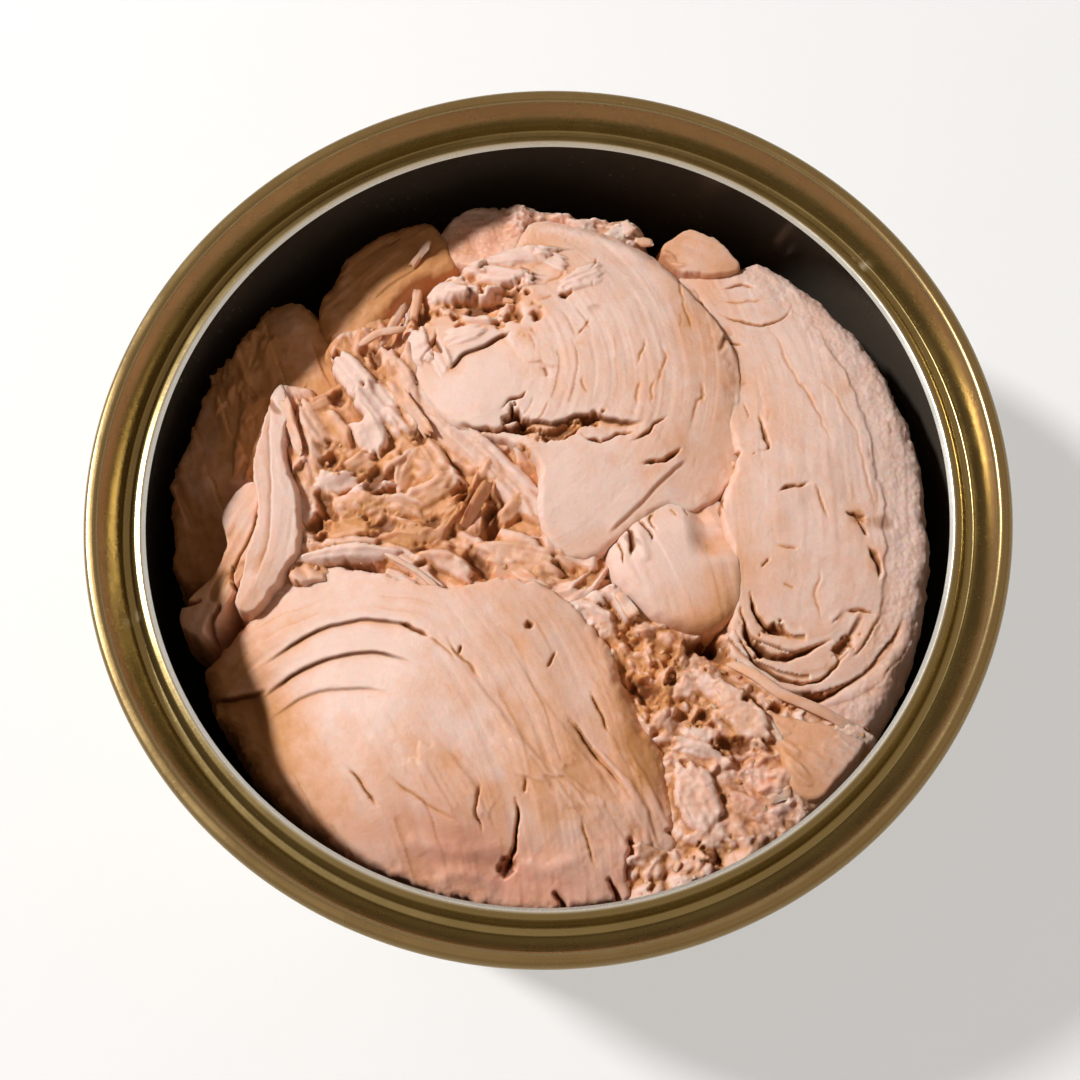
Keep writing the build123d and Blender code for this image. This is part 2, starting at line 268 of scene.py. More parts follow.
class Relief:
    """The top of one piece of fish, as heights on a fine grid, with what is carved into it."""

    def __init__(self, node, edge, ragged, steep=5.0, seed=1, lift=0.0, grow=0.3, depth=13.0, outline=None):
        self.seed = seed
        ring = footprint(node) if outline is None else closed_curve(outline)
        margin = 1.6
        lo, hi = ring.min(0) - margin, ring.max(0) + margin
        nx, ny = (np.ceil((hi - lo) / cell)).astype(int) + 1
        gx, gy = np.meshgrid(lo[0] + cell * np.arange(nx), lo[1] + cell * np.arange(ny))
        self.shape = gx.shape
        far = self._distance(gx, gy, ring) + grow
        keep = far > -margin
        self.keep = keep
        self.x, self.y = gx[keep], gy[keep]
        s = far[keep]
        s = s + ragged * (0.62 * fractal(self.x / 3.1, self.y / 3.1, seed, 2)
                          + 0.38 * fractal(self.x / 0.9, self.y / 0.9, seed + 3, 3))
        self.s = s
        self.z = crown(node)(self.x, self.y) + lift
        self.top = self.z.copy()
        self.edge = edge
        self.steep = steep
        self.depth = depth
        self.warm = 0.3 + 0.22 * fractal(self.x / 7, self.y / 7, seed + 9, 3)
        # painted shade: how far each place is darkened as shade in its gaps, cracks and crevices
        self.painted_shade = np.zeros(s.shape)
        self.wet = np.full(s.shape, 0.25)

    @staticmethod
    def _distance(gx, gy, ring):
        far = np.full(gx.shape, 1e9)
        for (ax, ay), (bx, by) in zip(ring, np.roll(ring, -1, axis=0)):
            ex, ey = bx - ax, by - ay
            if ex * ex + ey * ey < 1e-9:
                continue
            t = np.clip(((gx - ax) * ex + (gy - ay) * ey) / (ex * ex + ey * ey), 0, 1)
            far = np.minimum(far, (gx - ax - t * ex) ** 2 + (gy - ay - t * ey) ** 2)
        out = np.sqrt(far)
        return np.where(inside(gx, gy, ring), out, -out)

    def _near(self, points, reach, jag=0.0):
        """Distance, side and place along a line, for the grid's places within reach of it."""
        line = curve_through(points)
        lo, hi = line.min(0) - reach, line.max(0) + reach
        pick = np.flatnonzero((self.x > lo[0]) & (self.x < hi[0]) & (self.y > lo[1]) & (self.y < hi[1]))
        x, y = self.x[pick], self.y[pick]
        if jag:
            shift = 1.3 * fractal(x / 1.9, y / 1.9, self.seed + 31, 3)
            x, y = x + jag * shift, y + 1.3 * jag * fractal(x / 1.9, y / 1.9, self.seed + 47, 3)
        far, side, along = nearest(x, y, line)
        return pick, far, side, along

    def crack(self, points, width=0.16, depth=0.7, jag=0.18, ends=0.25):
        """An open split along a line: width is half its mouth, narrowing to its ends."""
        pick, far, _, along = self._near(points, 4 * width + 0.5, jag)
        taper = tapered(along, ends)
        uneven = 0.75 + 0.5 * fractal(self.x[pick] / 1.1, self.y[pick] / 1.1, self.seed + 61, 2)
        wanted = np.maximum(width * (0.25 + 0.75 * taper) * uneven, 0.03)
        mouth = np.maximum(wanted, 0.8 * cell)
        cut = np.exp(-((far / mouth) ** 3)) * (0.25 + 0.75 * taper) * (wanted / mouth) ** 0.5
        self.z[pick] -= depth * cut
        # painted shade: the split is darkened inside and turned warm round its mouth
        self.painted_shade[pick] = np.maximum(self.painted_shade[pick], cut * min(1.0, 1.5 * depth))
        self.warm[pick] += 0.3 * np.exp(-((far / (mouth * 2.0 + 0.1)) ** 2)) * taper

    def step(self, points, drop=0.4, fade=2.0, jag=0.14, ends=0.2, foot=0.25):
        """A layer's edge along a line: the surface on the line's right lies lower."""
        pick, far, side, along = self._near(points, 4 * fade, jag)
        taper = tapered(along, ends)
        inner = (along > 0.001) & (along < 0.999)
        signed = far * side
        below = np.exp(-np.maximum(-signed, 0) / fade) * (1 - smooth(-0.12, 0.22, signed))
        self.z[pick] -= drop * below * taper * inner
        groove = np.exp(-((far / 0.17) ** 2)) * taper
        self.z[pick] -= foot * groove
        # painted shade: the step's foot is darkened and its lower side turned warm
        self.painted_shade[pick] = np.maximum(self.painted_shade[pick], groove * min(1.0, 1.6 * (drop + foot)))
        self.warm[pick] += 0.3 * np.exp(-far / 0.4) * taper * (side < 0)

    def ridge(self, points, rise=0.5, width=1.2, ends=0.2):
        """A soft fold that stands up along a line."""
        pick, far, _, along = self._near(points, 3 * width)
        self.z[pick] += rise * np.exp(-((far / width) ** 2)) * tapered(along, ends)

    def swell(self, spot, radius, rise):
        """A soft hump, or a hollow where rise is negative."""
        far = np.hypot(self.x - spot[0], self.y - spot[1])
        self.z += rise * np.exp(-((far / radius) ** 2))

    def hollow(self, spot, radius, depth, warm=0.5, painted_shade=0.8, stretch=1.0, turn=0.0):
        """A gap of ragged outline, painted dark as shade inside and warm round it; stretch lengthens it along
        turn, in degrees.
        """
        u, v = along_and_across(self.x - spot[0], self.y - spot[1], turn)
        size = max(1.7 * radius, 0.7)
        ragged = np.maximum(1 + 0.85 * fractal(self.x / size, self.y / size, 5, 3, 0.6), 0.35)
        far = np.hypot(u / stretch, v) * ragged / radius
        gap = np.exp(-(far**4))
        self.z -= depth * gap
        self.painted_shade = np.maximum(self.painted_shade, painted_shade * gap)
        self.warm += warm * np.exp(-((far / 1.5) ** 2))

    def tint(self, spot, radius, warm=0.0, wet=0.0, painted_shade=0.0, stretch=1.0, turn=0.0):
        """A soft patch of another tone, and of painted shade where that is given; stretch lengthens it along
        turn, in degrees.
        """
        u, v = along_and_across(self.x - spot[0], self.y - spot[1], turn)
        mottled = 1 + 0.4 * fractal(self.x / 2, self.y / 2, 77, 3)
        patch = np.exp(-((np.hypot(u / stretch, v) / radius) ** 2)) * mottled
        self.warm += warm * patch
        self.wet += wet * patch
        self.painted_shade = np.maximum(self.painted_shade, painted_shade * patch)

    def fibres(self, across, along, rise=0.05, pitch=0.55, run=7.0, weight=1.0):
        """Fine streaks: across counts mm over the fibres and along counts mm down them."""
        wander = 0.5 * noise(across / 3.3, along / 9.0, self.seed + 90)
        fine = noise((across + wander) / pitch, along / run, self.seed + 91)
        finer = noise((across + wander) / (pitch * 0.45), along / (run * 0.6), self.seed + 92)
        broad = noise(across / (pitch * 3.6), along / (run * 1.8), self.seed + 93)
        streak = 0.5 * fine + 0.25 * finer + 0.6 * broad
        self.z += rise * streak * weight
        self.warm += 0.16 * streak * weight

    def layers(self, across, along, pitch=2.6, drop=0.25, seed=0, cut=0.35, share=0.5, weight=1.0):
        """Overlapping layers of muscle: a saw-toothed rise across them, with broken edges painted dark and
        warm as shade.
        """
        bend = across + 0.5 * fractal(self.x / 4.5, self.y / 4.5, self.seed + seed, 3)
        place = bend / pitch
        number = np.floor(place)
        part = place - number
        here = noise(number * 7.3 + 0.5, along / 5.0, self.seed + seed + 1)
        shown = smooth(1 - 2 * share - 0.15, 1 - 2 * share + 0.25, here) * weight
        lip = np.minimum(part, 1 - part) * pitch
        self.z += drop * (part - 0.5) * smooth(0, 0.3, lip) * shown
        groove = np.exp(-((lip / 0.27) ** 2)) * shown
        self.z -= cut * groove
        self.painted_shade = np.maximum(self.painted_shade, min(0.7, 4.5 * cut) * groove)
        self.warm += 0.22 * np.exp(-lip / 0.5) * shown

    def splits(self, across, along, pitch=2.2, run=8.0, width=0.05, depth=0.3, share=0.4, seed=0, weight=1.0):
        """Hairline splits that run with the fibres and open and close along their length."""
        wander = 0.35 * fractal(self.x / 1.7, self.y / 1.7, self.seed + seed + 120, 3)
        value = noise((across + wander) / pitch, along / run, self.seed + seed + 121)
        slope = 2.2 / pitch
        opened = noise(across / pitch / 1.7 + 9, along / run * 2.3, self.seed + seed + 122)
        opened = smooth(1 - 2 * share, 1.35 - 2 * share, opened) * weight
        wanted = width * (0.35 + opened)
        mouth = np.maximum(wanted, 0.9 * cell)
        cut = np.exp(-((value / (slope * mouth)) ** 2)) * opened * (wanted / mouth) ** 0.6
        self.z -= depth * cut
        # painted shade: the splits are darkened inside and turned warm round them
        self.painted_shade = np.maximum(self.painted_shade, 0.85 * cut)
        self.warm += 0.2 * np.exp(-((value / (slope * 0.3)) ** 2)) * opened

    def _around(self, spot, reach, turn):
        """The grid's places within reach of a spot, and how far along and across turn they lie."""
        dx, dy = self.x - spot[0], self.y - spot[1]
        pick = np.flatnonzero((abs(dx) < reach) & (abs(dy) < reach))
        u, v = along_and_across(dx[pick], dy[pick], turn)
        return pick, u, v

    def _lay(self, pick, over, height, contact_shadow, tone, wet):
        """Covers the picked places where over is set, and paints contact shadow on the others."""
        self.painted_shade[pick] = np.where(over, 0.0, np.maximum(self.painted_shade[pick], contact_shadow))
        self.warm[pick] = np.where(over, tone, self.warm[pick])
        self.wet[pick] = np.where(over, wet, self.wet[pick])
        self.z[pick] = np.where(over, height, self.z[pick])

    def shard(self, spot, length, width, turn, level, rise=(0.0, 0.0), bow=0.2, bend=0.0, seed=0,
              warm=0.3, wet=0.3, torn=0.3, streak=0.08, follow=False, keep=0.6, crumple=0.16):
        """A torn flake lying on the surface: straight sides, ragged ends, fibres along it.

        With follow, level is its thickness over what it lies on, and it keeps that part of the tone
        there; otherwise level is its height."""
        pick, u, v = self._around(spot, 0.85 * max(length, width), turn)
        v = v + bend * u * u
        coarse = noise(v / 0.9 + seed, np.sign(u) * 3.3, seed)
        frayed = noise(v / 0.35, np.sign(u) * 5.7, seed + 1)
        ends = 1 + torn * (0.7 * coarse + 0.5 * frayed)
        sides = 1 + 0.6 * torn * fractal(u / 2.1 + seed, np.sign(v) * 3.3, seed + 2, 3)
        a = abs(u) / (length / 2 * np.maximum(ends, 0.3))
        b = abs(v) / (width / 2 * np.maximum(sides, 0.3))
        r = (a**4 + b**4) ** 0.25
        short = min(length, width) / 2
        fibre = noise(v / 0.34 + seed, u / 6, seed + 4) + 0.6 * noise(v / 0.85, u / 9, seed + 5)
        lumps = fractal(u / 2.2, v / 1.6 + seed, seed + 6, 3)
        height = level + rise[0] * u / (length / 2) + rise[1] * v / (width / 2) - bow * b * b
        height = height + streak * fibre + crumple * lumps
        height = height - 0.22 * smooth(1 - 0.45 / short, 1, r) ** 2
        # painted shade: the tone turns warmer towards the flake's falling edge
        tone = warm + 0.12 * fibre + 0.16 * lumps + 0.18 * smooth(0.75, 1, r)
        if follow:
            height = height + self.z[pick]
            tone = keep * self.warm[pick] + (1 - keep) * tone
        lower = self.z[pick]
        over = (r < 1) & (height > lower)
        beside = (r >= 1) & (height > lower + 0.12)
        # painted contact shadow beside the flake, where it stands above what it lies on
        close = np.exp(-(((r - 1) * short / 0.28) ** 2))
        contact_shadow = np.where(beside, close, 0) * np.clip((height - lower) / 0.7, 0, 0.85)
        self._lay(pick, over, height, contact_shadow, tone, wet)

    def shards(self, count, flow, sizes, levels, seed, warm=(0.1, 0.6), spread=25.0, follow=False,
               where=True, wide=(0.25, 0.6), **more):
        """Strews shards over the piece, the lowest first, turned with the flow at each place."""
        rng = np.random.default_rng(seed)
        chosen = rng.choice(np.flatnonzero(where & (self.s > 0.2)), count)
        heights = np.sort(levels[0] + (levels[1] - levels[0]) * rng.random(count))
        for i, place in enumerate(chosen):
            spot = (self.x[place], self.y[place])
            length = between(rng, sizes, 1.5)
            width = length * between(rng, wide)
            rise = (0.5 * rng.standard_normal(), 0.35 * rng.standard_normal())
            if follow:
                rise = (0.1 * rise[0], 0.1 * rise[1])
            turn = flow(*spot) + spread * rng.standard_normal()
            bow = 0.1 + 0.3 * rng.random() * (not follow)
            bend = (0.03 if follow else 0.09) * rng.standard_normal()
            self.shard(spot, length, width, turn, heights[i], rise, bow, bend, seed=seed + 7 * i,
                       warm=between(rng, warm), follow=follow, **more)

    def lump(self, spot, length, width, turn, level, tall=1.0, seed=0, warm=0.3, coarse=0.3):
        """A rounded grainy lump."""
        pick, u, v = self._around(spot, 0.75 * max(length, width), turn)
        ripple = 1 + coarse * fractal(u / 1.3 + seed, v / 1.3, seed, 4)
        r = np.hypot(u / (length / 2), v / (width / 2)) / ripple
        grain = fractal(u / 0.7, v / 0.7 + seed, seed + 2, 3)
        height = level - tall + tall * np.sqrt(np.clip(1 - r**2.4, 0, 1)) + 0.22 * grain
        lower = self.z[pick]
        over = (r < 1) & (height > lower)
        beside = (r >= 1) & (level > lower)
        # painted contact shadow beside the lump, and painted shade warming the tone at its edge
        contact_shadow = np.where(beside, np.exp(-(((r - 1) * min(length, width) / 0.7) ** 2)), 0) * 0.6
        tone = warm + 0.2 * grain + 0.25 * smooth(0.6, 1, r)
        self._lay(pick, over, height, contact_shadow, tone, wet=0.3)

    def rough(self, amount, size, weight=1.0, seed=0):
        """Uneven height, amount mm either way, in waves of about size mm."""
        self.z += amount * fractal(self.x / size, self.y / size, self.seed + 200 + seed, 4) * weight

    def grains(self, amount, size, weight=1.0, seed=0):
        """Rounded grains of about size mm, with painted shade in the gaps between them."""
        wobble = 0.3 * size * fractal(self.x / size, self.y / size, self.seed + 301 + seed, 2)
        lump = 0.55 - cells((self.x + wobble) / size, (self.y - wobble) / size, self.seed + 300 + seed)
        self.z += amount * lump * weight
        self.painted_shade = np.maximum(self.painted_shade, np.clip(-1.5 * lump, 0, 0.5) * weight * min(1.0, amount * 2))

    def notch(self, points, width, jag=0.3):
        """Cuts the piece's edge back along a line that runs in from outside it."""
        pick, far, _, along = self._near(points, 3 * width + 0.6, jag)
        half = width * (1 - 0.75 * along)
        self.s[pick] = np.minimum(self.s[pick], 2.2 * (far - half))

    def hollowness(self, reach):
        """How far each place lies below the mean height round it, in mm."""
        height = np.zeros(self.shape)
        height[self.keep] = self.z - self.top.mean()
        share = self.keep.astype(float)
        count = max(1, int(reach / cell))
        for axis in (0, 1, 0, 1):
            sums = []
            for grid in (height, share):
                wide = np.pad(grid, [(count + 1, count) if a == axis else (0, 0) for a in (0, 1)])
                total = np.cumsum(wide, axis=axis)
                size = grid.shape[axis]
                high = np.take(total, np.arange(2 * count + 1, 2 * count + 1 + size), axis=axis)
                low = np.take(total, np.arange(size), axis=axis)
                sums.append((high - low) / (2 * count + 1))
            height, share = sums
        return (height / np.maximum(share, 1e-6))[self.keep] + self.top.mean() - self.z

    def weld(self, amount, reach, painted_shade=0.6):
        """Softens the joins between the pieces laid on, so that they read as one torn mass, and scales the
        painted shade by the given factor.
        """
        self.z += amount * self.hollowness(reach)
        self.painted_shade = painted_shade * self.painted_shade

    def paint_crevice_shade(self):
        """Painted shade and highlight: crevices turn warm and dark, and the edges that stand up turn pale."""
        near, wide = self.hollowness(0.5), self.hollowness(1.5)
        self.warm = self.warm + 1.3 * np.clip(near, -0.15, 0.5) + 0.4 * np.clip(wide, -0.3, 1.0)
        self.painted_shade = np.maximum(self.painted_shade, 0.6 * smooth(0.35, 1.5, near + 0.5 * wide))

    def build(self, name, material):
        """The piece's mesh: the carved top, rounded at its edge, falling to a closed underside."""
        self.paint_crevice_shade()
        into = np.clip(1 - self.s / self.edge, 0, 1)
        fall = self.edge * (1 - np.sqrt(np.clip(1 - into**2, 0, 1)))
        fall = np.where(self.s < 0, self.edge - self.steep * self.s, fall)
        floor = self.top.max() - self.depth
        side = smooth(-0.15, 0.5, -self.s)
        rough = 0.35 * fractal(self.x / 0.7, (self.z - fall) / 0.9, self.seed + 400, 3) * side
        z = np.maximum(self.z - fall + rough, floor)
        # painted shade: the piece's falling sides turn warmer
        self.warm = self.warm + 0.25 * side
        number = np.full(self.shape, -1)
        number[self.keep] = np.arange(len(self.x))
        a, b = number[:-1, :-1], number[:-1, 1:]
        c, d = number[1:, 1:], number[1:, :-1]
        whole = (a >= 0) & (b >= 0) & (c >= 0) & (d >= 0)
        quads = np.column_stack([a[whole], b[whole], c[whole], d[whole]])
        verts = np.column_stack([self.x, self.y, z])
        tone = np.column_stack([np.clip(self.warm, 0, 1), np.clip(self.painted_shade, 0, 1), np.clip(self.wet, 0, 1)])
        verts, quads, tone, under = close_below(verts, quads, tone, floor - 0.5)
        piece = add_mesh(name, verts, [quads] + under, material, tone)
        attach(piece, BODY)
        return piece


def close_below(verts, quads, tone, level):
    """Adds a wall down from a sheet's open edge to a level, and a face under each loop of it."""
    used = np.unique(quads)
    renumber = np.full(len(verts), -1)
    renumber[used] = np.arange(len(used))
    verts, tone, quads = verts[used], tone[used], renumber[quads]
    edges = np.concatenate([quads[:, [0, 1]], quads[:, [1, 2]], quads[:, [2, 3]], quads[:, [3, 0]]])
    count = len(verts)
    forward = edges[:, 0].astype(np.int64) * count + edges[:, 1]
    backward = edges[:, 1].astype(np.int64) * count + edges[:, 0]
    border = edges[~np.isin(forward, backward)]
    rim, index = np.unique(border, return_inverse=True)
    index = index.reshape(border.shape) + count
    foot = verts[rim].copy()
    foot[:, 2] = level
    walls = np.column_stack([border[:, 1], border[:, 0], index[:, 0], index[:, 1]])
    follow = {}
    for a, b in index:
        follow.setdefault(int(a), []).append(int(b))
    under = []
    while follow:
        start = next(iter(follow))
        loop, here = [start], follow[start].pop()
        while here != start:
            loop.append(here)
            here = follow[here].pop()
        follow = {a: b for a, b in follow.items() if b}
        under.append(np.array([loop[::-1]]))
    return (np.vstack([verts, foot]), np.vstack([quads, walls]),
            np.vstack([tone, tone[rim]]), under)


# --- materials ----------------------------------------------------------------------------


def new_material(name):
    """A material with its node tree and its one surface shader."""
    material = bpy.data.materials.new(name)
    material.use_nodes = True
    tree = material.node_tree
    shader = tree.nodes["Principled BSDF"]
    return material, tree, shader


def node(tree, kind, **values):
    made = tree.nodes.new(kind)
    for key, value in values.items():
        if key in made.inputs:
            made.inputs[key].default_value = value
        else:
            setattr(made, key, value)
    return made


def link_or_set(tree, value, socket):
    """Joins a shader value to an input, or sets the input to a number or a colour."""
    if isinstance(value, tuple):
        socket.default_value = (*value, 1.0)
    elif isinstance(value, (int, float)):
        socket.default_value = value
    else:
        tree.links.new(value, socket)


def math_node(tree, operation, a, b=None, clamp=False):
    made = tree.nodes.new("ShaderNodeMath")
    made.operation = operation
    made.use_clamp = clamp
    for socket, value in zip(made.inputs, (a, b)):
        if value is not None:
            link_or_set(tree, value, socket)
    return made.outputs[0]


def mix_colour(tree, factor, a, b):
    """The colour a where the factor is 0 and b where it is 1."""
    made = node(tree, "ShaderNodeMix", data_type="RGBA")
    sockets = {s.identifier: s for s in made.inputs}
    for key, value in (("Factor_Float", factor), ("A_Color", a), ("B_Color", b)):
        link_or_set(tree, value, sockets[key])
    return next(s for s in made.outputs if s.identifier == "Result_Color")


def remap(tree, value, low, high, to_low, to_high):
    """The value, carried from low..high to to_low..to_high and held within them."""
    made = node(tree, "ShaderNodeMapRange", clamp=True)
    tree.links.new(value, made.inputs["Value"])
    for key, number in (("From Min", low), ("From Max", high), ("To Min", to_low), ("To Max", to_high)):
        made.inputs[key].default_value = number
    return made.outputs["Result"]


def noise_node(tree, vector, scale, detail=4.0, roughness=0.55):
    made = node(tree, "ShaderNodeTexNoise", Scale=scale, Detail=detail, Roughness=roughness)
    tree.links.new(vector, made.inputs["Vector"])
    return made.outputs["Fac"]


def vary(tree, value, unevenness, amount):
    """The value, shifted up and down by a noise that goes from 0 to 1."""
    shift = math_node(tree, "MULTIPLY", math_node(tree, "SUBTRACT", unevenness, 0.5), amount)
    return math_node(tree, "ADD", value, shift)


def bump(tree, shader, height, distance, strength):
    made = node(tree, "ShaderNodeBump", Strength=strength, Distance=distance)
    tree.links.new(height, made.inputs["Height"])
    tree.links.new(made.outputs["Normal"], shader.inputs["Normal"])


def set_inputs(shader, values):
    for key, value in values.items():
        shader.inputs[key].default_value = value


flesh_pale = (0.84, 0.61, 0.53)
flesh_warm = (0.79, 0.44, 0.285)
flesh_tan = (0.62, 0.28, 0.09)
# the deep brown that painted shade turns the flesh to
painted_shade_colour = (0.16, 0.042, 0.012)
flesh_wet = (0.74, 0.37, 0.28)


def flesh_material():
    """Cooked tuna: pale flesh that turns warm and tan, with painted shade turning it warm and deep brown in
    its folds and gaps, a fine grain and a moist sheen.
    """
    material, tree, shader = new_material("tuna_flesh")
    place = node(tree, "ShaderNodeTexCoord").outputs["Object"]
    tone = node(tree, "ShaderNodeAttribute", attribute_name="flesh")
    parts = node(tree, "ShaderNodeSeparateColor")
    tree.links.new(tone.outputs["Color"], parts.inputs["Color"])
    warm, painted_shade, wet = (parts.outputs[key] for key in ("Red", "Green", "Blue"))
    mottle = noise_node(tree, place, 420, 5)
    grain = noise_node(tree, place, 2600, 4, 0.6)
    fleck = noise_node(tree, place, 1300, 3, 0.7)
    warmth = vary(tree, vary(tree, warm, mottle, 0.5), fleck, 0.3)
    colour = mix_colour(tree, remap(tree, warmth, 0.12, 0.62, 0, 1), flesh_pale, flesh_warm)
    colour = mix_colour(tree, remap(tree, warmth, 0.6, 1.0, 0, 0.85), colour, flesh_tan)
    colour = mix_colour(tree, remap(tree, wet, 0.35, 1.0, 0, 0.75), colour, flesh_wet)
    # painted shade: the flesh attribute's second channel turns the colour deep brown
    colour = mix_colour(tree, remap(tree, painted_shade, 0.1, 0.9, 0, 0.95), colour, painted_shade_colour)
    tree.links.new(colour, shader.inputs["Base Color"])
    tree.links.new(vary(tree, remap(tree, wet, 0, 1, 0.62, 0.4), fleck, 0.3), shader.inputs["Roughness"])
    set_inputs(shader, {
        "Subsurface Weight": 0.5,
        "Subsurface Radius": (1.0, 0.42, 0.22),
        "Subsurface Scale": 0.0009,
        "Specular IOR Level": 0.3,
    })
    coarse, fine = math_node(tree, "MULTIPLY", fleck, 0.8), math_node(tree, "MULTIPLY", grain, 0.6)
    bump(tree, shader, math_node(tree, "ADD", fine, coarse), 0.00008, 0.6)
    return material


def radius_and_height(tree):
    """The distance from the can's axis and the height, in mm, as shader values."""
    place = node(tree, "ShaderNodeTexCoord").outputs["Object"]
    parts = node(tree, "ShaderNodeSeparateXYZ")
    tree.links.new(place, parts.inputs["Vector"])
    x, y, z = parts.outputs
    square = math_node(tree, "ADD", math_node(tree, "MULTIPLY", x, x), math_node(tree, "MULTIPLY", y, y))
    radius = math_node(tree, "MULTIPLY", math_node(tree, "SQRT", square), 1 / MM)
    return place, radius, math_node(tree, "MULTIPLY", z, 1 / MM)


def round_streaks(tree, radius, height, scale):
    """Fine rings round the can, as rolling and spinning leave on its plate."""
    line = node(tree, "ShaderNodeCombineXYZ")
    tree.links.new(radius, line.inputs["X"])
    tree.links.new(height, line.inputs["Y"])
    return noise_node(tree, line.outputs["Vector"], scale, 6, 0.7)


lacquer_bronze = (0.26, 0.175, 0.072)
lacquer_olive = (0.27, 0.205, 0.085)
lacquer_gold = (0.56, 0.45, 0.24)
olive_ends, bronze_starts = 41.2, 42.0  # radii on the end's ring, in mm
lacquer_ends, bare_starts = 38.85, 38.62
bare_tin = (0.80, 0.77, 0.70)


def ring_material():
    """The end's ring: bronze lacquer, olive on its inner side, bare tin at its torn edge and scuffs."""
    material, tree, shader = new_material("bronze_lacquer_ring")
    place, radius, height = radius_and_height(tree)
    blotch = noise_node(tree, place, 160, 4)
    speck = noise_node(tree, place, 1900, 3, 0.7)
    rings = round_streaks(tree, radius, height, 2.2)
    wear = node(tree, "ShaderNodeAttribute", attribute_name="flesh").outputs["Color"]
    r = vary(tree, radius, blotch, 0.12)
    colour = mix_colour(tree, remap(tree, r, olive_ends, bronze_starts, 0, 1), lacquer_olive, lacquer_bronze)
    colour = mix_colour(tree, remap(tree, rings, 0.35, 0.7, 0, 0.3), colour, lacquer_gold)
    colour = mix_colour(tree, remap(tree, r, lacquer_ends, bare_starts, 0, 1), colour, bare_tin)
    colour = mix_colour(tree, remap(tree, speck, 0.74, 0.8, 0, 0.3), colour, bare_tin)
    colour = mix_colour(tree, remap(tree, wear, 0.2, 0.7, 0, 1), colour, bare_tin)
    tree.links.new(colour, shader.inputs["Base Color"])
    rough = math_node(tree, "ADD", remap(tree, blotch, 0.3, 0.7, 0.2, 0.32),
                      remap(tree, speck, 0.6, 0.8, 0, 0.12))
    tree.links.new(rough, shader.inputs["Roughness"])
    set_inputs(shader, {"Metallic": 0.92, "Coat Weight": 0.2, "Coat Roughness": 0.15})
    bump(tree, shader, math_node(tree, "ADD", rings, speck), 0.00002, 0.35)
    return material


can_inside = (0.115, 0.098, 0.08)
can_inside_brown = (0.16, 0.13, 0.095)
can_outside = (0.46, 0.345, 0.165)


def can_material():
    """The drawn can: gold lacquer outside and a dark grey one inside."""
    material, tree, shader = new_material("can_lacquer")
    place, radius, height = radius_and_height(tree)
    blotch = noise_node(tree, place, 90, 5)
    speck = noise_node(tree, place, 1500, 3, 0.7)
    rings = round_streaks(tree, radius, height, 1.4)
    normal = node(tree, "ShaderNodeTexCoord").outputs["Normal"]
    facing = node(tree, "ShaderNodeVectorMath", operation="DOT_PRODUCT")
    flat = node(tree, "ShaderNodeVectorMath", operation="MULTIPLY")
    # a wall is outside where it faces away from the axis, and the base where it faces down
    base_weight = 20
    flat.inputs[1].default_value = (1 / MM, 1 / MM, -base_weight / MM)
    tree.links.new(place, flat.inputs[0])
    tree.links.new(flat.outputs["Vector"], facing.inputs[0])
    tree.links.new(normal, facing.inputs[1])
    outward = remap(tree, facing.outputs["Value"], -1, 1, 0, 1)
    outside = mix_colour(tree, remap(tree, rings, 0.3, 0.7, 0, 0.4), can_outside, lacquer_gold)
    blotched = remap(tree, blotch, 0.3, 0.7, 0, 0.5)
    inside_colour = mix_colour(tree, blotched, can_inside, can_inside_brown)
    tree.links.new(mix_colour(tree, outward, inside_colour, outside), shader.inputs["Base Color"])
    tree.links.new(remap(tree, outward, 0, 1, 0.35, 0.85), shader.inputs["Metallic"])
    tree.links.new(math_node(tree, "ADD", remap(tree, blotch, 0.3, 0.7, 0.18, 0.27),
                             remap(tree, speck, 0.6, 0.8, 0, 0.1)), shader.inputs["Roughness"])
    bump(tree, shader, math_node(tree, "ADD", rings, speck), 0.00003, 0.5)
    return material


# --- loose flakes -------------------------------------------------------------------------


def bent(pts, curl, arch, twist):
    """The flake curled across its width, arched along its length and twisted about it."""
    for axis, amount in ((1, curl), (0, arch)):
        if amount:
            bend = pts[:, axis] * amount
            reach = 1 / amount
            z = pts[:, 2].copy()
            pts[:, axis] = (reach - z) * np.sin(bend)
            pts[:, 2] = reach - (reach - z) * np.cos(bend)
    if twist:
        angle = pts[:, 0] * twist
        c, s = np.cos(angle), np.sin(angle)
        y, z = pts[:, 1].copy(), pts[:, 2].copy()
        pts[:, 1], pts[:, 2] = y * c - z * s, y * s + z * c
    return pts


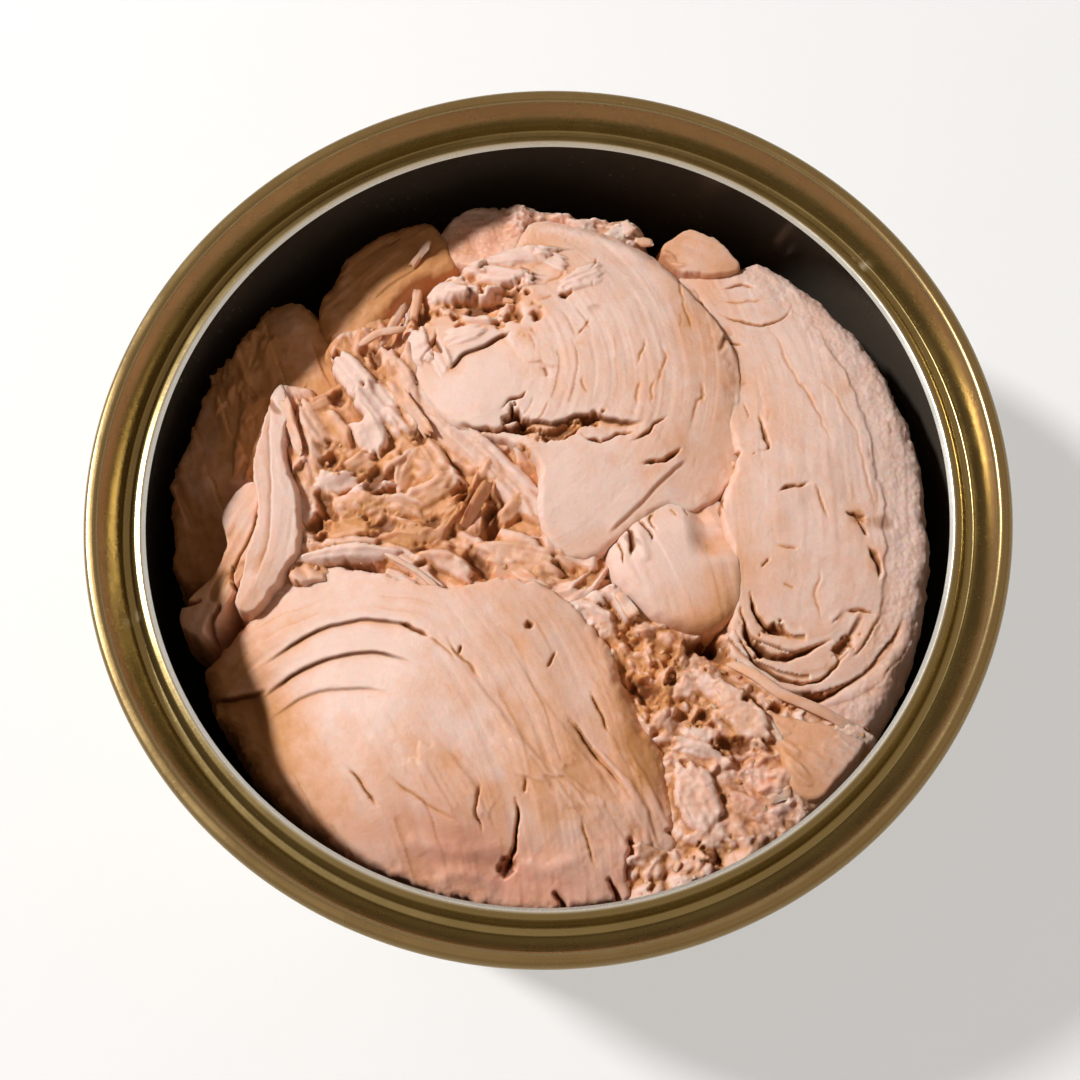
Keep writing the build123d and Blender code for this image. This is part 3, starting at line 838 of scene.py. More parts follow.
def flake_shape(length, width, thick, curl, arch, twist, seed, fine):
    """Points, faces and tone of one torn flake lying flat about the origin, in mm."""
    nu = max(8, int(length / fine))
    nv = max(6, int(width / fine))
    u, v = np.meshgrid(np.linspace(-1, 1, nu), np.linspace(-1, 1, nv))
    disc_u = u * np.sqrt(np.clip(1 - 0.5 * v * v, 0, 1))
    disc_v = v * np.sqrt(np.clip(1 - 0.5 * u * u, 0, 1))
    round_off = 0.2 + 0.3 * lattice(np.array([seed]), np.array([1]), 3)[0]
    pu = u * (1 - round_off) + disc_u * round_off
    pv = v * (1 - round_off) + disc_v * round_off
    rim = np.maximum(np.abs(u), np.abs(v))
    torn = 1 + rim**3 * 0.28 * fractal(u * 1.6 + seed, v * 1.6, seed, 3)
    frayed = 1 + 0.2 * u * u * noise(v * width / 1.6 + seed, np.sign(u) * 3.3, seed + 3)
    x = pu * length / 2 * torn * frayed
    y = pv * width / 2 * (torn + 0.2 * noise(u * 1.5 + seed, v * 0, seed + 2)) * (1 - 0.12 * u * u)
    body = np.sqrt(np.clip(1 - rim**9, 0, 1))
    across = fractal(y / 0.55 + 3 * noise(x / 4, y / 4, seed), x / 5.0, seed + 4, 3)
    lumps = fractal(x / 1.6, y / 1.6, seed + 5, 3)
    half = thick / 2 * body * (1 + 0.35 * lumps)
    lift = 0.06 * across + 0.16 * lumps * min(1.0, thick)
    wave = 0.25 * thick * fractal(x / 3.5 + seed, y / 3.5, seed + 8, 2)
    warm = 0.3 + 0.22 * lumps + 0.12 * across
    sheets = []
    for sign in (1, -1):
        z = sign * half + (lift + wave if sign > 0 else wave - 0.5 * lift)
        sheets.append(np.stack([x, y, z], axis=-1).reshape(-1, 3))
    pts = bent(np.vstack(sheets), curl, arch, twist)
    grid = np.arange(nu * nv).reshape(nv, nu)
    a, b, c, d = grid[:-1, :-1], grid[:-1, 1:], grid[1:, 1:], grid[1:, :-1]
    top = np.stack([a, b, c, d], axis=-1).reshape(-1, 4)
    low = top[:, ::-1] + nu * nv
    ring = np.concatenate([grid[0, :-1], grid[:-1, -1], grid[-1, :0:-1], grid[:0:-1, 0]])
    after = np.roll(ring, -1)
    wall = np.column_stack([after, ring, ring + nu * nv, after + nu * nv])
    edge = np.concatenate([rim.reshape(-1), rim.reshape(-1)])
    # painted shade: the flake's lower sheet is darkened, and its rim turned warmer
    tone = np.column_stack([
        np.tile(warm.reshape(-1), 2) + 0.2 * edge**6,
        np.concatenate([np.zeros(nu * nv), np.full(nu * nv, 0.35)]),
        np.full(2 * nu * nv, 0.3),
    ])
    return pts, np.vstack([top, low, wall]), np.clip(tone, 0, 1)


def turned(yaw, pitch, roll):
    """Rotation: roll about the flake's length, then pitch of its far end up, then yaw."""
    return np.array((Matrix.Rotation(math.radians(yaw), 3, "Z")
                     @ Matrix.Rotation(math.radians(-pitch), 3, "Y")
                     @ Matrix.Rotation(math.radians(roll), 3, "X")))


class Heap:
    """Flakes and crumbs joined into one mesh."""

    def __init__(self):
        self.parts, self.ends, self.count = [], [], 0

    def add(self, spot, level, size, turn, curl=0.0, arch=0.0, twist=0.0, seed=0, warm=0.0, fine=0.16):
        """Adds one flake: its size is length, width and thickness, its turn yaw, pitch and roll."""
        pts, faces, tone = flake_shape(*size, curl, arch, twist, seed, fine / flake_detail)
        pts = pts @ turned(*turn).T + np.array([*spot, level])
        tone = tone + np.array([warm, 0.0, 0.0])
        self.parts.append((pts, faces + self.count, np.clip(tone, 0, 1)))
        self.count += len(pts)

    def build(self, name, material):
        verts = np.vstack([p[0] for p in self.parts])
        faces = np.vstack([p[1] for p in self.parts])
        tone = np.vstack([p[2] for p in self.parts])
        piece = add_mesh(name, verts, [faces] + self.ends, material, tone)
        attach(piece, BODY)
        return piece


# --- the pieces of fish -------------------------------------------------------------------
# Places are in mm on the plan of the fish, whose origin is the can's axis.

front_crown_rise = 1.2  # how far the large chunk's top stands over the fish's level, in mm
fish_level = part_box("chunk_front")[1].z / MM - front_crown_rise


def front_layers(r):
    """Low ribs along the fibres, and the edges of the curved layers at the upper left."""
    for line, drop in (
        ([(-11.1, -12.6), (-6.9, -18.5), (-0.7, -27.3), (3.5, -35.1)], 0.2),
        ([(-7.9, -17.4), (-3.4, -24.2), (1.8, -32.2)], 0.1),
        ([(-4.7, -14.1), (-0.2, -21.5), (4.1, -28.1), (7.4, -33.5)], 0.14),
        ([(2.9, -19.3), (5.8, -25.9), (7.7, -30.8)], 0.12),
        ([(-13.0, -21.0), (-9.3, -25.7), (-6.3, -32.5)], 0.16),
    ):
        r.step(line, drop=-drop, fade=1.6, foot=0.0, jag=0.1, ends=0.3)
    r.step([(-29.5, -13.4), (-27, -11.9), (-24.4, -10.7), (-21.5, -9.9), (-18.6, -9.7), (-15.8, -10.2),
            (-14.3, -10.8), (-12.6, -11.9)], drop=0.42, fade=2.6, foot=0.16, ends=0.25, jag=0.1)
    r.crack([(-15.2, -10.3), (-14, -10.9), (-12.4, -12)], width=0.2, depth=0.9)
    r.crack([(-12.4, -12), (-10.6, -13.6), (-9.6, -14.9)], width=0.09, depth=0.3)
    r.step([(-30.5, -16.6), (-28.1, -15.5), (-26.1, -14.5), (-23.2, -13.5), (-20.9, -13.2), (-18.3, -13),
            (-16.3, -13.5), (-13.2, -14.9)], drop=0.46, fade=2.6, foot=0.18, ends=0.25, jag=0.1)
    r.step([(-29.5, -18.8), (-27.5, -17.8), (-24.9, -16.8), (-22.6, -16.4), (-20.1, -16.6), (-18.1, -16.8),
            (-15.5, -17.6)], drop=0.24, fade=2.2, foot=0.08, ends=0.3, jag=0.1)
    r.step([(-35.5, -15.6), (-32.5, -15.8), (-28.8, -15.4)], drop=1.3, fade=4, foot=0.12, ends=0.3)


def front_splits(r):
    """Splits and holes where the large chunk's flakes part."""
    r.crack([(-10.4, -12.4), (-9.7, -14), (-8.6, -15.2), (-7.6, -16.8)], width=0.12, depth=0.4)
    r.crack([(-9.2, -13.2), (-9.5, -14.2)], width=0.16, depth=0.5)
    r.hollow((-2.4, -11.7), 0.3, 0.7)
    r.crack([(-0.1, -14.4), (-1, -16.1)], width=0.12, depth=0.4)
    r.crack([(3, -18.6), (4.3, -22.8)], width=0.12, depth=0.5)
    r.crack([(0.6, -21.3), (1.7, -22.8), (3.2, -25.1), (5.3, -27.6)], width=0.14, depth=0.65)
    r.step([(0.5, -20.5), (2.4, -23.6), (4.6, -26.6), (6.4, -29.5)], drop=0.3, fade=1.4, foot=0.05)
    r.crack([(-20.6, -24), (-19.5, -25.4), (-17.8, -27.9)], width=0.14, depth=0.5)
    r.crack([(-16.6, -25), (-15.6, -26.2), (-13, -28.2), (-10, -30.2)], width=0.09, depth=0.3)
    r.crack([(-8.2, -26.6), (-8.6, -28.8), (-8.3, -31)], width=0.13, depth=0.55)
    r.crack([(-3.9, -26.3), (-4.1, -27.6)], width=0.11, depth=0.5)
    r.crack([(-5, -28.1), (-4.7, -29.7), (-5.1, -31.7), (-5.6, -33.3), (-6.7, -35)], width=0.2, depth=1.4)
    r.hollow((-6.1, -34.2), 0.5, 1.4, stretch=1.5, turn=60)
    r.crack([(1.2, -30.4), (1.3, -31.8), (2.1, -34.8)], width=0.1, depth=0.4)
    r.swell((-14, -33), 3.0, -0.5)


def front_lower_end(r):
    """The large chunk's torn lower end: notches, tongues, soft folds and long shreds."""
    x, y = r.x, r.y
    for line, width in (
        ([(6.2, -39.0), (5.9, -36.0), (5.4, -32.8)], 1.0),
        ([(7.6, -37.5), (6.9, -35.5), (6.5, -33.9)], 0.55),
        ([(9.2, -36.5), (8.3, -35.0), (7.8, -34.3)], 0.5),
        ([(11.5, -33.0), (10.0, -32.4), (9.2, -32.0)], 0.4),
        ([(3.9, -39.5), (4.0, -37.6), (3.4, -36.0)], 0.5),
        ([(-1.0, -39.5), (-1.3, -37.9), (-1.9, -36.9)], 0.5),
    ):
        r.notch(line, width)
    r.edge = r.edge - 1.2 * smooth(-29, -31, y) * smooth(3, 5, x)
    # torn tongues at its lower end
    for i, (px, py, length, width, turn_at, thick, warm) in enumerate((
        (3.0, -31.2, 11.0, 2.8, -64, 0.12, 0.42), (5.9, -29.4, 10.0, 2.2, -66, 0.24, 0.36),
        (7.8, -29.0, 9.0, 1.5, -70, 0.16, 0.32),
    )):
        r.shard((px, py), length, width, turn_at, thick, (0.0, 0.1), 0.1, 0.02, seed=1200 + 5 * i, warm=warm,
                torn=0.45, wet=0.45, follow=True, keep=0.5, streak=0.04)
    r.ridge([(-16.5, -30.6), (-12.0, -32.2), (-7.5, -32.6), (-6.0, -31.6)], rise=0.3, width=0.9)
    r.ridge([(-13.0, -34.6), (-9.5, -34.6), (-6.8, -36.0)], rise=0.3, width=0.7)
    r.ridge([(-5.2, -33.6), (-2.6, -34.6), (1.2, -33.8)], rise=0.25, width=0.8)
    r.tint((-9.0, -33.4), 2.6, warm=0.3, wet=0.4, stretch=2.2, turn=-14)
    r.shards(9, lambda u, v: -62, (7.0, 13.0), (0.02, 0.05), 1250, warm=(0.3, 0.6), spread=5, follow=True,
             where=(y < -21) & (x > -14), torn=0.25, wet=0.3, streak=0.04, crumple=0.08)
    low = smooth(-30, -33, y)
    r.rough(0.16, 3.2, low, seed=12)
    r.rough(0.05, 1.1, low, seed=14)


def front_tones(r):
    """Paler and browner patches of the large chunk, among them painted shadow and painted shade."""
    r.warm += 0.06
    r.tint((-20, -13), 7, warm=-0.2, stretch=1.6, turn=10)
    r.tint((-16, -20), 8, warm=-0.16, stretch=1.5, turn=-50)
    r.tint((1, -20), 7, warm=0.14, stretch=2.2, turn=-62)
    r.tint((-14, -31), 5, warm=0.16, wet=0.4, stretch=1.8, turn=-15)
    r.tint((-2, -36), 3.2, warm=0.1, wet=0.5, stretch=3.4, turn=0)
    # painted shadow: warm brown where the rim's shadow falls on the chunk's left end
    r.tint((-31, -19.5), 6, warm=0.9, stretch=1.7, turn=-60)
    # painted shade in the gap between the chunk and the crumbly heap
    r.tint((7.5, -24), 2.0, warm=0.6, painted_shade=0.25, stretch=3.2, turn=-70)
    r.tint((3, -27), 4, warm=0.16, stretch=2)
    # small warm patches with a little painted shade
    for spot in ((-15.2, -21.7), (-10.8, -24.2), (-7.8, -27.5)):
        r.tint(spot, 1.1, warm=0.3, painted_shade=0.08, stretch=1.6, turn=-30)


def chunk_front(material):
    """The large chunk: curved layers at its upper left, long fibres fanning to the lower right."""
    r = Relief("chunk_front", edge=1.0, ragged=0.8, seed=11)
    x, y = r.x, r.y
    right = smooth(3.0, 7.0, x)
    r.edge = 1.0 - 0.5 * smooth(-13, -10, y) + 1.4 * right * smooth(-12, -18, y) + 1.2 * smooth(-26, -32, x)
    r.steep = 4.5 - 2.2 * right
    arc, turn = np.hypot(x + 20.5, y + 27.8), np.arctan2(x + 20.5, y + 27.8)
    curved = smooth(-9.5, -14.5, x) * smooth(-20.5, -17, y)
    across, along = 0.88 * x + 0.47 * y, 0.47 * x - 0.88 * y
    fan = across + 0.012 * (along - 10) ** 2
    r.swell((-16, -20), 13, 0.7)
    r.swell((4, -13), 5, -0.6)
    r.swell((-30, -18), 4.5, -1.6)
    r.swell((-7, -35.5), 5, -1.2)
    r.rough(0.2, 7.5)
    r.rough(0.05, 1.9, seed=4)
    r.fibres(arc, turn * 16, rise=0.05, pitch=0.5, weight=curved)
    r.fibres(fan, along, rise=0.07, pitch=0.62, run=11, weight=1 - curved)
    r.layers(arc + 0.6, turn * 16, pitch=1.65, drop=0.12, cut=0.02, share=0.35,
             weight=curved * smooth(16.5, 18.5, arc))
    r.layers(fan, along, pitch=3.4, drop=0.2, cut=0.03, share=0.3, weight=1 - curved)
    r.splits(fan, along, pitch=2.4, run=7, width=0.05, depth=0.28, share=0.2,
             weight=(1 - curved) * smooth(-12, -18, y))
    r.splits(fan, along, pitch=1.3, run=6, width=0.03, depth=0.12, share=0.14, seed=30, weight=1 - curved)
    front_layers(r)
    front_splits(r)
    front_lower_end(r)
    front_tones(r)
    return r.build("fish_chunk_front", material)


def back_split(r):
    """The jagged split under the upper chunk's left lobe, with the gaps along it."""
    r.step([(-9.0, 10.6), (-6.0, 9.4), (-3.2, 9.2), (-0.8, 9.6), (2.2, 9.3), (5.2, 9.9), (8.4, 8.6),
            (11.4, 9.0)], drop=0.7, fade=1.7, jag=0.45, ends=0.15, foot=0.35)
    r.crack([(-6.5, 9.3), (-4.6, 9.2), (-3.0, 9.0), (-1.2, 8.9), (0.6, 8.6)], width=0.3, depth=1.5, jag=0.45)
    r.crack([(-3.7, 11.2), (-2.9, 12.0), (-1.9, 12.3), (-1.1, 13)], width=0.15, depth=0.9, jag=0.4)
    r.hollow((-2.6, 10.2), 0.5, 2.0, stretch=1.5, turn=20, painted_shade=1.0, warm=0.3)
    r.hollow((-1.4, 9.6), 0.35, 1.4, stretch=1.8, turn=-20, painted_shade=1.0, warm=0.2)
    r.crack([(-2.4, 10.2), (-2.7, 11.6)], width=0.25, depth=1.6, jag=0.5)
    r.hollow((2.0, 8.3), 0.55, 1.3, stretch=4.2, turn=12, painted_shade=0.7, warm=0.8)
    r.hollow((5.2, 9.4), 0.35, 1.2, stretch=2.6, turn=30, painted_shade=0.9, warm=0.4)
    r.crack([(0.8, 8.0), (2.6, 7.4), (4.4, 8.4)], width=0.26, depth=1.2, jag=0.4)
    r.crack([(4.9, 8.7), (6.5, 9.7)], width=0.16, depth=0.8, jag=0.5)
    r.crack([(4.2, 7.4), (5.4, 7.0), (6.8, 6.9), (8.8, 7.4), (9.8, 7.6)], width=0.2, depth=1.1, jag=0.6)
    r.crack([(9.4, 6.4), (11.4, 7.6), (13.3, 9.2)], width=0.14, depth=0.6, jag=0.4)
    r.crack([(10.3, 3.9), (12, 4.6), (14.1, 5.7)], width=0.26, depth=0.9, jag=0.5)
    r.step([(14.8, 4.5), (12.6, 2.7), (10, 0.4), (8.2, -1.2), (6, -2.9)], drop=-0.35, fade=2.2, foot=0.25,
           ends=0.12)


def back_cracks(r):
    """Small splits over the upper chunk's body and its pale lobe."""
    r.hollow((3.8, 23.7), 0.26, 0.8, stretch=1.4, turn=20, painted_shade=1.0)
    for line, width in (
        ([(6.8, 26.8), (7.8, 28.3)], 0.18),
        ([(7, 25.3), (6.9, 24.5)], 0.16),
        ([(1.9, 25.4), (3.4, 26.1), (4.5, 26.8)], 0.1),
        ([(1.1, 23.6), (2.6, 23.9)], 0.09),
        ([(4.8, 18.4), (6.1, 20.5)], 0.12),
        ([(11.4, 17.7), (11.1, 16.2), (10.4, 14.7)], 0.14),
        ([(13.4, 16.6), (13.7, 14.8), (12.5, 12)], 0.1),
        ([(10.8, 13), (10.3, 10.2)], 0.1),
        ([(12.4, 13), (11.6, 10.6)], 0.1),
        ([(4.8, 13.7), (5.1, 12.1)], 0.1),
        ([(16.4, 26.2), (16.2, 23), (17.0, 18)], 0.1),
        ([(17.0, 13), (16.6, 10), (15.6, 8)], 0.09),
    ):
        r.crack(line, width=0.85 * width, depth=2.0 * width, jag=0.45)


def back_plates(r):
    """Broken plates on the upper chunk's upper left, with painted brown shade in the gaps under them."""
    # painted shade: warm dark hollows under the plates
    r.hollow((-5.6, 23.4), 1.1, 1.7, stretch=3.0, turn=-14, painted_shade=0.8, warm=0.8)
    r.hollow((-2.4, 24.6), 0.9, 1.8, stretch=1.8, turn=12, painted_shade=0.85, warm=0.8)
    r.hollow((-8.0, 28.6), 0.8, 1.0, stretch=2.2, turn=-30, painted_shade=0.5, warm=0.7)
    r.hollow((-11.6, 23.6), 0.8, 1.2, stretch=2.0, turn=70, painted_shade=0.6, warm=0.7)
    # x, y, thickness, length, width, turn, tilt along, tilt across, warm
    for i, (px, py, thick, length, width, turn_at, up, over, warm) in enumerate((
        (-6.0, 22.2, 0.5, 4.5, 1.5, -10, 0.1, 0.1, 0.55), (-3.0, 23.0, 0.4, 3.6, 1.3, 16, 0.1, 0.1, 0.6),
        (-7.6, 23.6, 0.6, 3.4, 1.5, -6, 0.1, 0.1, 0.5), (-5.2, 25.2, 0.6, 5.4, 1.9, -8, 0.1, 0.1, 0.36),
        (-8.9, 25.8, 0.6, 4.6, 2.5, -8, 0.1, 0.2, 0.12), (-2.8, 27.0, 0.55, 5.8, 2.2, -18, 0.1, 0.1, 0.2),
        (-6.6, 27.8, 0.5, 4.8, 2.2, 12, 0.1, 0.2, 0.25), (-2.0, 29.5, 0.6, 9.4, 2.4, -2, 0.0, 0.2, 0.1),
        (2.6, 28.4, 0.35, 4.0, 2.0, -32, 0.0, 0.1, 0.15), (-12.2, 27.0, 0.6, 8.8, 2.0, 72, 0.1, 0.2, 0.05),
        (-14.0, 23.4, 0.5, 5.6, 1.3, 58, 0.1, 0.2, 0.25), (-12.0, 20.0, 0.4, 4.4, 2.3, -78, 0.1, 0.1, 0.1),
        (5.8, 25.6, 0.3, 4.2, 2.8, 20, 0.0, 0.1, 0.14), (-7.4, 20.2, 0.3, 5.2, 2.6, 10, 0.1, 0.1, 0.12),
        (-9.8, 17.6, 0.25, 3.4, 2.4, -65, 0.0, 0.1, 0.14),
    )):
        r.shard((px, py), length, width, turn_at, thick, (up, over), 0.08, 0.0, seed=1100 + 5 * i, warm=warm,
                torn=0.55, follow=True, keep=0.1, crumple=0.2)


def chunk_back(material):
    """The upper middle chunk: layers curling round its left lobe, a long split and a pale lobe."""
    r = Relief("chunk_back", edge=0.6, ragged=0.5, seed=23, grow=0.5)
    x, y = r.x, r.y
    r.edge = 0.6 + 1.2 * smooth(27, 31, np.hypot(x, y)) + 0.3 * smooth(-8, -12, x)
    swirl, turn = np.hypot(x + 7.5, y - 16.0), np.arctan2(x + 7.5, y - 16.0)
    r.swell((9, 19), 9, 0.5)
    r.swell((-7, 14), 5.5, 0.35)
    r.swell((4, 2), 4.5, 0.2)
    r.swell((17, 12), 6, 0.5)
    r.rough(0.16, 6.0)
    r.rough(0.05, 1.6, seed=4)
    body = smooth(5.5, 8.5, swirl) * smooth(5.5, 9, y)
    near_lobe = body * smooth(19, 14, swirl)
    r.fibres(swirl, turn * 14, rise=0.07, pitch=0.5, weight=0.25 + 0.75 * body)
    r.layers(swirl, turn * 16, pitch=2.0, drop=0.16, cut=0.06, share=0.32, seed=8, weight=near_lobe)
    r.splits(swirl, turn * 16, pitch=1.5, run=5.5, width=0.035, depth=0.2, share=0.22, seed=4,
             weight=near_lobe * smooth(13.0, 16.0, y + 0.3 * x))
    r.splits(swirl, turn * 16, pitch=2.6, run=7, width=0.06, depth=0.34, share=0.24, seed=14,
             weight=body * smooth(13.0, 15.5, y + 0.4 * x))
    r.step([(-10.4, 20.6), (-9.6, 18.6), (-8.7, 16.8), (-7.3, 18.1), (-5.2, 18.7), (-2.6, 20)],
           drop=0.45, fade=2.2, foot=0.16, ends=0.06)
    r.crack([(-5.6, 18.6), (-4.2, 19), (-2.4, 20.1)], width=0.17, depth=0.9)
    r.crack([(-10.2, 21.6), (-10.4, 20.1), (-11.9, 17.9)], width=0.1, depth=0.5)
    back_split(r)
    back_cracks(r)
    r.splits(x + 0.05 * y, y, pitch=1.0, run=5, width=0.05, depth=0.3, share=0.3, seed=50,
             weight=0.5 * smooth(13.5, 16, x))
    beside = smooth(12, 15, x) * smooth(30, 26, np.hypot(x, y))
    r.s = r.s + 1.3 * beside
    r.edge = r.edge - 0.3 * beside
    r.rough(0.14, 1.0, beside * smooth(3.0, 0.8, r.s), seed=16)
    r.ridge([(0.5, 33), (5, 32), (9.6, 29.8), (13.4, 26.6)], rise=0.3, width=0.8)
    r.grains(0.1, 0.45, smooth(30, 33, np.hypot(x, y)))
    back_plates(r)
    r.tint((-6.5, 13.6), 5, warm=-0.22)
    r.tint((3.5, 2.2), 5, warm=-0.3)
    r.tint((9, 20), 7, warm=-0.14, stretch=1.3, turn=80)
    r.tint((17.2, 18), 2.4, warm=0.45, stretch=3.2, turn=-82)
    r.tint((9, 12), 9, warm=0.08)
    r.tint((12, 4.5), 1.8, warm=0.3, stretch=2.2, turn=35)
    r.tint((2, 31.6), 2.5, warm=0.3, stretch=2.4, turn=-15)
    return r.build("fish_chunk_back", material)


def chunk_middle(material):
    """The smooth rounded tongue between the chunks."""
    r = Relief("chunk_middle", edge=1.8, ragged=0.3, steep=4.0, seed=31, lift=0.2, grow=0.6)
    x, y = r.x, r.y
    r.edge = 1.8 - 1.3 * smooth(13.5, 16.5, x + 0.3 * y) - 1.2 * smooth(-4, -1.5, y)
    r.s = r.s - 1.1 * smooth(-11.0, -14.0, y)
    across, along = 0.93 * x + 0.37 * y, 0.37 * x - 0.93 * y
    bowed = across + 0.02 * (along - 9) ** 2
    r.z -= 0.9 * smooth(-3.6, -0.6, y) + 1.3 * smooth(13.5, 16, x) * smooth(-7, -4, y)
    r.rough(0.08, 4.0)
    r.fibres(bowed, along, rise=0.07, pitch=0.6, run=8)
    r.splits(bowed, along, pitch=1.3, run=5, width=0.04, depth=0.2, share=0.3, seed=5,
             weight=smooth(-7, -3, y))
    for line, width in (
        ([(7.5, -1.6), (8.1, -3.0), (8.2, -5.3)], 0.26),
        ([(6.6, -3.2), (7.2, -4.6), (7.4, -6.2)], 0.16),
        ([(9.3, -1.2), (10.1, -2.6), (10.4, -4.2)], 0.2),
        ([(11, -0.6), (10.6, -1.6), (11, -3)], 0.13),
        ([(12.4, -0.6), (12.8, -1.8)], 0.1),
        ([(13.8, -0.6), (14.2, -1.6)], 0.1),
    ):
        r.crack(line, width=width, depth=2.8 * width, jag=0.3)
    r.ridge([(8.8, -2.4), (9.2, -4.4), (9.6, -6.4)], rise=0.25, width=0.5)
    r.tint((12, -5), 4.5, warm=-0.3)
    r.tint((11, -10), 3.2, warm=0.14, stretch=1.8, turn=-50)
    r.tint((16.2, -8), 2.6, warm=0.35, stretch=2.2, turn=-78)
    r.tint((14.5, -13), 2.4, warm=0.4, wet=0.2, stretch=2)
    return r.build("fish_chunk_middle", material)


def right_cracks(r):
    """The gaps round the slab's curled lower end, and the small splits above them."""
    r.crack([(19.4, -10.0), (19.8, -12.2), (20.8, -13.8), (22.8, -14.4)], width=0.24, depth=1.2)
    r.hollow((21.6, -13.9), 0.4, 1.2, stretch=2.4, turn=-20, painted_shade=1.0)
    r.crack([(18.4, -11.4), (18.8, -14.6), (20.3, -16.1), (22.6, -16.6), (25, -15.9), (26.7, -15.3)],
            width=0.3, depth=1.5)
    r.hollow((19.8, -15.6), 0.45, 1.2, stretch=2.6, turn=-40, painted_shade=0.9)
    r.crack([(17.6, -13.6), (19.4, -17), (22.2, -18.8), (25.2, -18.9), (28.2, -16.5)], width=0.2, depth=1.0)
    r.crack([(18, -17.6), (21.2, -20.4), (25.2, -20.6), (29.4, -18.7)], width=0.24, depth=1.2)
    r.hollow((27.6, -16.0), 0.4, 1.0, stretch=2.4, turn=40, painted_shade=0.8)
    r.hollow((24.6, -20.7), 0.35, 0.9, stretch=3.4, turn=4, painted_shade=0.8)
    for line, width in (
        ([(20.9, 24.8), (22.8, 24.9), (24.7, 24.2)], 0.14),
        ([(20, 21.4), (22, 20), (24.4, 19.4), (26.4, 19.8), (28.2, 21.3)], 0.15),
        ([(20.4, 23), (23, 22.4), (25.6, 22.7)], 0.08),
        ([(18.3, 23.7), (19.2, 20.8)], 0.17),
        ([(19.5, 17.7), (22.4, 16.9)], 0.15),
        ([(22.6, 8.6), (23, 6.6), (22.9, 4.7), (22.2, 4.6)], 0.17),
        ([(23.2, 0), (24.6, 0.5), (26.7, 0.8)], 0.17),
        ([(27.2, 0.6), (27.3, -1.2), (27.9, -3.1)], 0.11),
        ([(17.8, 0.4), (17.2, -1.6), (16.6, -4)], 0.14),
        ([(22.4, -5.3), (23.4, -5.9), (24.5, -6)], 0.09),
        ([(20.8, -7.4), (21.6, -6.8)], 0.12),
        ([(22.6, -9.2), (23.8, -9.8)], 0.08),
        ([(28.4, -12.8), (29.8, -12.6), (31.4, -13.1)], 0.16),
        ([(31.3, -6.4), (32.2, -7.8), (32, -9.5)], 0.22),
        ([(25.2, 19.2), (27.5, 11), (29.8, 4.7)], 0.06),
        ([(29.2, 13), (32.1, 5.9), (32.7, -4.4)], 0.05),
        ([(26, -13.2), (25.8, -11), (26.3, -8.4)], 0.07),
    ):
        r.crack(line, width=width, depth=3.0 * width, jag=0.3)
    r.step([(28.6, 22), (30.6, 17), (32.6, 10), (33.6, 2), (33.2, -5), (31.8, -12), (29.5, -19)],
           drop=-0.22, fade=2.6, foot=0.02, jag=0.5)


